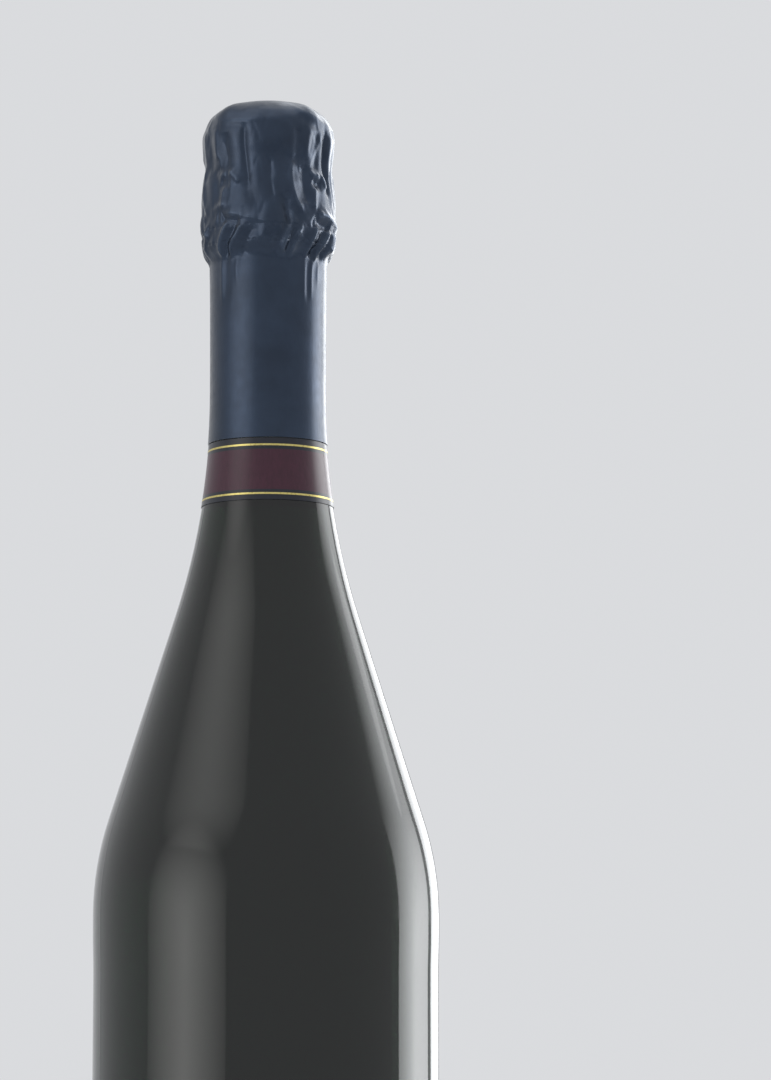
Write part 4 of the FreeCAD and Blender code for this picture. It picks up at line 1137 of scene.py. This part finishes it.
# Cap plate, stamped with a groove for the crown and a low ring round its middle, as radius and rise
# above the groove's floor
PLATE_FLOOR, PLATE_WALL = HEAD_TOP + 0.35, 0.3
PLATE_SIDE = PLATE - PLATE_WALL
STAMPING = [
    (0, 3.19), (3.0, 3.1), (5.6, 2.85), (6.0, 2.67), (6.5, 2.65), (7.0, 2.63), (8.6, 2.37), (9.2, 2.27),
    (9.55, 1.95), (10.4, 0.2), (10.75, 0.01), (12.6, 0), (13.3, -0.3), (PLATE, -1.0), (PLATE, -2.6),
    (PLATE + 0.12, -3.0), (PLATE - 0.2, -3.02), (PLATE_SIDE, -2.6), (PLATE_SIDE, -1.0), (13.08, -0.48),
    (12.55, -PLATE_WALL), (10.7, -0.29), (10.15, -0.15), (9.28, 1.75), (9.0, 2.01), (8.55, 2.07),
    (6.0, 2.37), (5.6, 2.55), (3.0, 2.8), (0, 2.89),
]
plate = turn([(radius, PLATE_FLOOR + rise) for radius, rise in STAMPING], around(180))
add_piece("cap_plate_stamping", plate, "cage", [TINPLATE], "cap_plate", 50)


# Wire cage
def add_wire(name, shape, body, node):
    add_piece(name, shape, body, [WIRE], node, 60)


def at_azimuth(points, azimuth):
    """Points given as (radius, sideways, height) at an azimuth, in the frame's axes."""
    points = np.asarray(points, float)
    a = math.radians(azimuth)
    x = points[:, 0] * math.cos(a) - points[:, 1] * math.sin(a)
    y = points[:, 0] * math.sin(a) + points[:, 1] * math.cos(a)
    return np.stack([x, y, points[:, 2]], axis=1)


CROWN_WIRE, CROWN_HEIGHT, CROWN_DROP, CROWN_PINCH = 0.5, (CROWN_BOTTOM + CROWN_TOP) / 2, 0.05, 0.09
STRAND, STRAND_SIDES, WIRE_SIDES = 0.275, 10, 12
LEG_BEND, SPLAY_RADIUS, LEG_START, LEG_STEP = 2.38, 22.0, BELT_HEIGHT + 0.6, 0.5
splay_middle = ((LEG_FOOT + LEG_HEAD) / 2, sum(LEG_SPLAY) / 2)
leg_line = np.array(trace([
    (LEG_FOOT, LEG_START),
    (LEG_FOOT, LEG_SPLAY[0]),
    (*splay_middle, SPLAY_RADIUS, LEFT),
    (LEG_HEAD, LEG_SPLAY[1], SPLAY_RADIUS, RIGHT),
    (LEG_HEAD, CROWN_HEIGHT - LEG_BEND),
    (LEG_HEAD - LEG_BEND, CROWN_HEIGHT, LEG_BEND, LEFT),
], LEG_STEP))
TWIST, STRAND_POINTS, STRAND_CUT, STRAND_STEP = 4.2, 170, 6, 0.25
# Where a strand leaves the leg for the crown, as (radius, sideways, drop), and its (radius, azimuth) there
PARTING = [(12.42, 0.42, 0.0), (12.28, 0.8, 0.02)]
TAIL = [(r, math.radians(azimuth)) for r, azimuth in ((12.22, 6), (12.22, 9), (12.22, 13), (11.98, 18))]


def strand(phase):
    """One wire of a leg's twisted pair, parting at the top to run round the crown."""
    ahead = np.gradient(leg_line, axis=0)
    ahead /= np.linalg.norm(ahead, axis=1)[:, None]
    reach = lengths_along(leg_line)
    fine = np.linspace(0, reach[-1], STRAND_POINTS)
    radius, height = (np.interp(fine, reach, leg_line[:, i]) for i in range(2))
    out_r, out_z = np.interp(fine, reach, ahead[:, 1]), np.interp(fine, reach, -ahead[:, 0])
    turns = round(reach[-1] / TWIST * 2) / 2
    spin = phase + fine / reach[-1] * 2 * math.pi * turns
    out, aside = STRAND * np.cos(spin), STRAND * np.sin(spin)
    points = np.stack([radius + out * out_r, aside, height + out * out_z], axis=1)
    side = 1 if points[-1, 1] >= 0 else -1
    tail = PARTING + [(r * math.cos(a), r * math.sin(a), CROWN_DROP) for r, a in TAIL]
    tail = [(r, side * sideways, CROWN_HEIGHT - drop) for r, sideways, drop in tail]
    return smooth_line(np.vstack([points[:-STRAND_CUT], tail]), STRAND_STEP)


for index, azimuth in enumerate(LEG_AZIMUTHS, start=1):
    pair = [strand(math.pi / 2), strand(math.pi * 3 / 2)]
    wires = [tube(at_azimuth(line, azimuth), STRAND, STRAND_SIDES) for line in pair]
    add_wire(f"cage_leg_{index}_wires", joined(wires), "cage", f"cage_leg_{index}")

EYE, EYE_ASIDE, EYE_DRAWN_SHARE, EYE_STEP = 1.1, 0.29, 0.25, 0.15
EYE_ANGLES = np.radians([-32, -10, 15, 40, 65, 88, 104])


def eye_line(side):
    """A leg's end, bent down round the outside of the belt and tucked under it."""
    aside = side * EYE_ASIDE * (1 - EYE_DRAWN_SHARE * np.linspace(0, 1, len(EYE_ANGLES)))
    out, up = BELT + EYE * np.cos(EYE_ANGLES), BELT_HEIGHT - EYE * np.sin(EYE_ANGLES)
    return smooth_line(np.stack([out, aside, up], axis=1), EYE_STEP)


eyes = [at_azimuth(eye_line(side), azimuth) for azimuth in LEG_AZIMUTHS for side in (1, -1)]
add_wire("cage_eyes_hooks", joined([tube(eye, STRAND, STRAND_SIDES) for eye in eyes]), "cage", "cage_eyes")


def ring_line(azimuths, radius, height):
    """Points of a level ring, or of a part of one, about the axis."""
    size = (1, len(azimuths))
    return around_axis(azimuths, np.broadcast_to(radius, size), np.full(size, height))


crown_azimuths = around(180)
pinch = CROWN_PINCH * np.cos(np.radians(crown_azimuths) * len(LEG_AZIMUTHS))
crown_line = ring_line(crown_azimuths, CROWN_REACH - CROWN_WIRE - pinch, CROWN_HEIGHT - CROWN_DROP)
add_wire("cage_crown_wire", tube(crown_line, CROWN_WIRE, WIRE_SIDES, closed=True), "cage", "cage_crown")

# Belt, whose two ends meet at the back and twist together, and the loop that they form
LOOP_ROOT = HINGES["loop_fold"]
BELT_END = np.array([0.0, BELT + 0.45, BELT_HEIGHT + 0.35])
BELT_WIRE, BELT_TWIST, BELT_TURNS, BELT_TWIST_SHARE, BELT_STEP = 0.4, 0.36, 0.5, 0.62, 0.4
BELT_AZIMUTHS, BELT_TWIST_POINTS = np.linspace(97, 443, 174), 14
LOOP_FOOT, LOOP_STEM, LOOP_TWIST, LOOP_TURNS, LOOP_STEP = 0.2, 5.0, 0.37, 1.5, 0.2
LOOP_TWIST_POINTS, LOOP_CUT = 46, 2
LOOP_EYE, LOOP_EYE_RISE, LOOP_EYE_START, LOOP_EYE_POINTS = 2.55, 2.7, math.radians(-62), 40
LOOP_HEEL = np.array([[0.52, -0.55, -0.42], [0.46, -0.16, -0.12]])


def twisted(start, end, radius, turns, phase, count):
    """A helix about the line from start to end."""
    along = (end - start) / np.linalg.norm(end - start)
    side = np.array([1.0, 0, 0])
    up = np.cross(along, side)
    share = np.linspace(0, 1, count)[:, None]
    spin = phase + share * 2 * math.pi * turns
    return start + (end - start) * share + radius * (np.cos(spin) * side + np.sin(spin) * up)


def add_belt():
    """The belt's wire from one twisted end round to the other."""
    twist_end = BELT_END + (LOOP_ROOT - BELT_END) * BELT_TWIST_SHARE
    first, last = (twisted(BELT_END, twist_end, BELT_TWIST, BELT_TURNS, phase, BELT_TWIST_POINTS)
                   for phase in (math.pi, 0))
    ring = ring_line(BELT_AZIMUTHS, BELT, BELT_HEIGHT)
    line = smooth_line(np.vstack([first[::-1], ring, last]), BELT_STEP)
    add_wire("cage_belt_wire", tube(line, BELT_WIRE, WIRE_SIDES), "cage", "cage_belt")


def add_loop():
    """The loop's wire up one side of its twisted stem, round its eye and down the other side."""
    foot, top = LOOP_ROOT + [0, 0, LOOP_FOOT], LOOP_ROOT + [0, 0, LOOP_STEM]
    up, down = (twisted(foot, top, LOOP_TWIST, LOOP_TURNS, phase, LOOP_TWIST_POINTS)
                for phase in (0.0, math.pi))
    angles = np.linspace(LOOP_EYE_START, math.pi - LOOP_EYE_START, LOOP_EYE_POINTS)
    side = 1 if up[-1, 0] > 0 else -1
    eye = top + np.stack([side * LOOP_EYE * np.cos(angles), np.zeros(LOOP_EYE_POINTS),
                          LOOP_EYE_RISE + LOOP_EYE * np.sin(angles)], axis=1)
    first, last = LOOP_ROOT + LOOP_HEEL, LOOP_ROOT + LOOP_HEEL[::-1] * [-1, 1, 1]
    line = smooth_line(np.vstack([first, up[:-LOOP_CUT], eye, down[::-1][LOOP_CUT:], last]), LOOP_STEP)
    add_wire("cage_loop_wire", tube(line, BELT_WIRE, WIRE_SIDES), "loop", "cage_loop")


add_belt()
add_loop()

# Stage, in metres: a pale floor, a pale surround, soft lights and the camera
FLOOR_HALF = 12
BACKGROUND, DAYLIGHT, DAYLIGHT_STRENGTH = (0.70, 0.71, 0.73), (0.95, 0.97, 1.0), 0.64
MIDDLE = (0, 0, 0.2)
WARM, COOL, COOLER, WHITE = (1.0, 0.985, 0.97), (0.97, 0.985, 1.0), (0.96, 0.98, 1.0), (1, 1, 1)
# Name, place, aim, width and height, power, spread in degrees and colour
LIGHTS = [
    ("strip_right", (0.88, 1.80, 0.72), (0, 0, 0.72), (0.80, 1.28), 2.8, 90, COOLER),
    ("side_right", (2.30, 1.24, 0.93), (0, 0, 0.93), (1.8, 1.7), 6.0, 64, COOL),
    ("key_left", (-2.2, -1.6, 1.16), (0, 0, 1.16), (3.0, 2.2), 4.8, 64, WARM),
    ("key_high", (-1.54, -1.12, 2.25), MIDDLE, (3.0, 2.7), 3.6, 62, WARM),
    ("top_soft", (0.1, -0.1, 1.3), MIDDLE, (0.9, 0.9), 1.9, 180, WHITE),
    ("back_high", (0.95, 1.40, 1.60), MIDDLE, (1.9, 1.5), 2.8, 70, COOL),
]
CAMERA_PLACE, CAMERA_AIM = (0.03052, -1.28888, 0.04743), (0.03052, 0.0, 0.21711)
SENSOR, LENS, CLIP = 36.0, 167.68, (0.01, 50)


def add_aimed(name, data, place, aim):
    """An object for a light or the camera, at a place and turned to an aim."""
    obj = bpy.data.objects.new(name, data)
    bpy.context.scene.collection.objects.link(obj)
    obj.location = place
    obj.rotation_mode = "QUATERNION"
    obj.rotation_quaternion = (Vector(aim) - Vector(place)).to_track_quat("-Z", "Y")
    return obj


def add_floor():
    mesh = bpy.data.meshes.new("floor")
    corners = [(x * FLOOR_HALF, y * FLOOR_HALF, 0) for x, y in ((-1, -1), (1, -1), (1, 1), (-1, 1))]
    mesh.from_pydata(corners, [], [(0, 1, 2, 3)])
    floor = bpy.data.objects.new("floor", mesh)
    bpy.context.scene.collection.objects.link(floor)
    paint = Paint("pale_floor")
    paint.colour(paint.shades(paint.noise(90, 3), (0.745, 0.752, 0.765), (0.757, 0.764, 0.776)))
    paint.roughness(paint.spread(paint.noise(90, 3), 0.6, 0.75))
    mesh.materials.append(paint.material)


def add_world():
    """Daylight on what is matt, and the pale surround for the camera and in gloss and glass."""
    world = bpy.data.worlds.new("studio")
    bpy.context.scene.world = world
    world.use_nodes = True
    nodes, links = world.node_tree.nodes, world.node_tree.links
    nodes.clear()
    path = nodes.new("ShaderNodeLightPath")
    seen = path.outputs["Is Camera Ray"]
    for name in ("Is Glossy Ray", "Is Transmission Ray"):
        either = nodes.new("ShaderNodeMath")
        either.operation = "MAXIMUM"
        links.new(seen, either.inputs[0])
        links.new(path.outputs[name], either.inputs[1])
        seen = either.outputs[0]
    mix, out = nodes.new("ShaderNodeMixShader"), nodes.new("ShaderNodeOutputWorld")
    links.new(seen, mix.inputs[0])
    for socket, colour, strength in ((1, DAYLIGHT, DAYLIGHT_STRENGTH), (2, BACKGROUND, 1.0)):
        background = nodes.new("ShaderNodeBackground")
        background.inputs["Color"].default_value = (*colour, 1)
        background.inputs["Strength"].default_value = strength
        links.new(background.outputs[0], mix.inputs[socket])
    links.new(mix.outputs[0], out.inputs["Surface"])


def add_light(name, place, aim, size, power, spread, colour):
    light = bpy.data.lights.new(name, "AREA")
    light.shape = "RECTANGLE"
    light.size, light.size_y = size
    light.energy = power
    light.spread = math.radians(spread)
    light.color = colour
    add_aimed(name, light, place, aim).visible_camera = False


def add_camera():
    camera = bpy.data.cameras.new("camera")
    camera.sensor_width = SENSOR
    camera.lens = LENS
    camera.clip_start, camera.clip_end = CLIP
    bpy.context.scene.camera = add_aimed("camera", camera, CAMERA_PLACE, CAMERA_AIM)


add_floor()
add_world()
for light in LIGHTS:
    add_light(*light)
add_camera()
bpy.context.scene.view_settings.view_transform = "Standard"
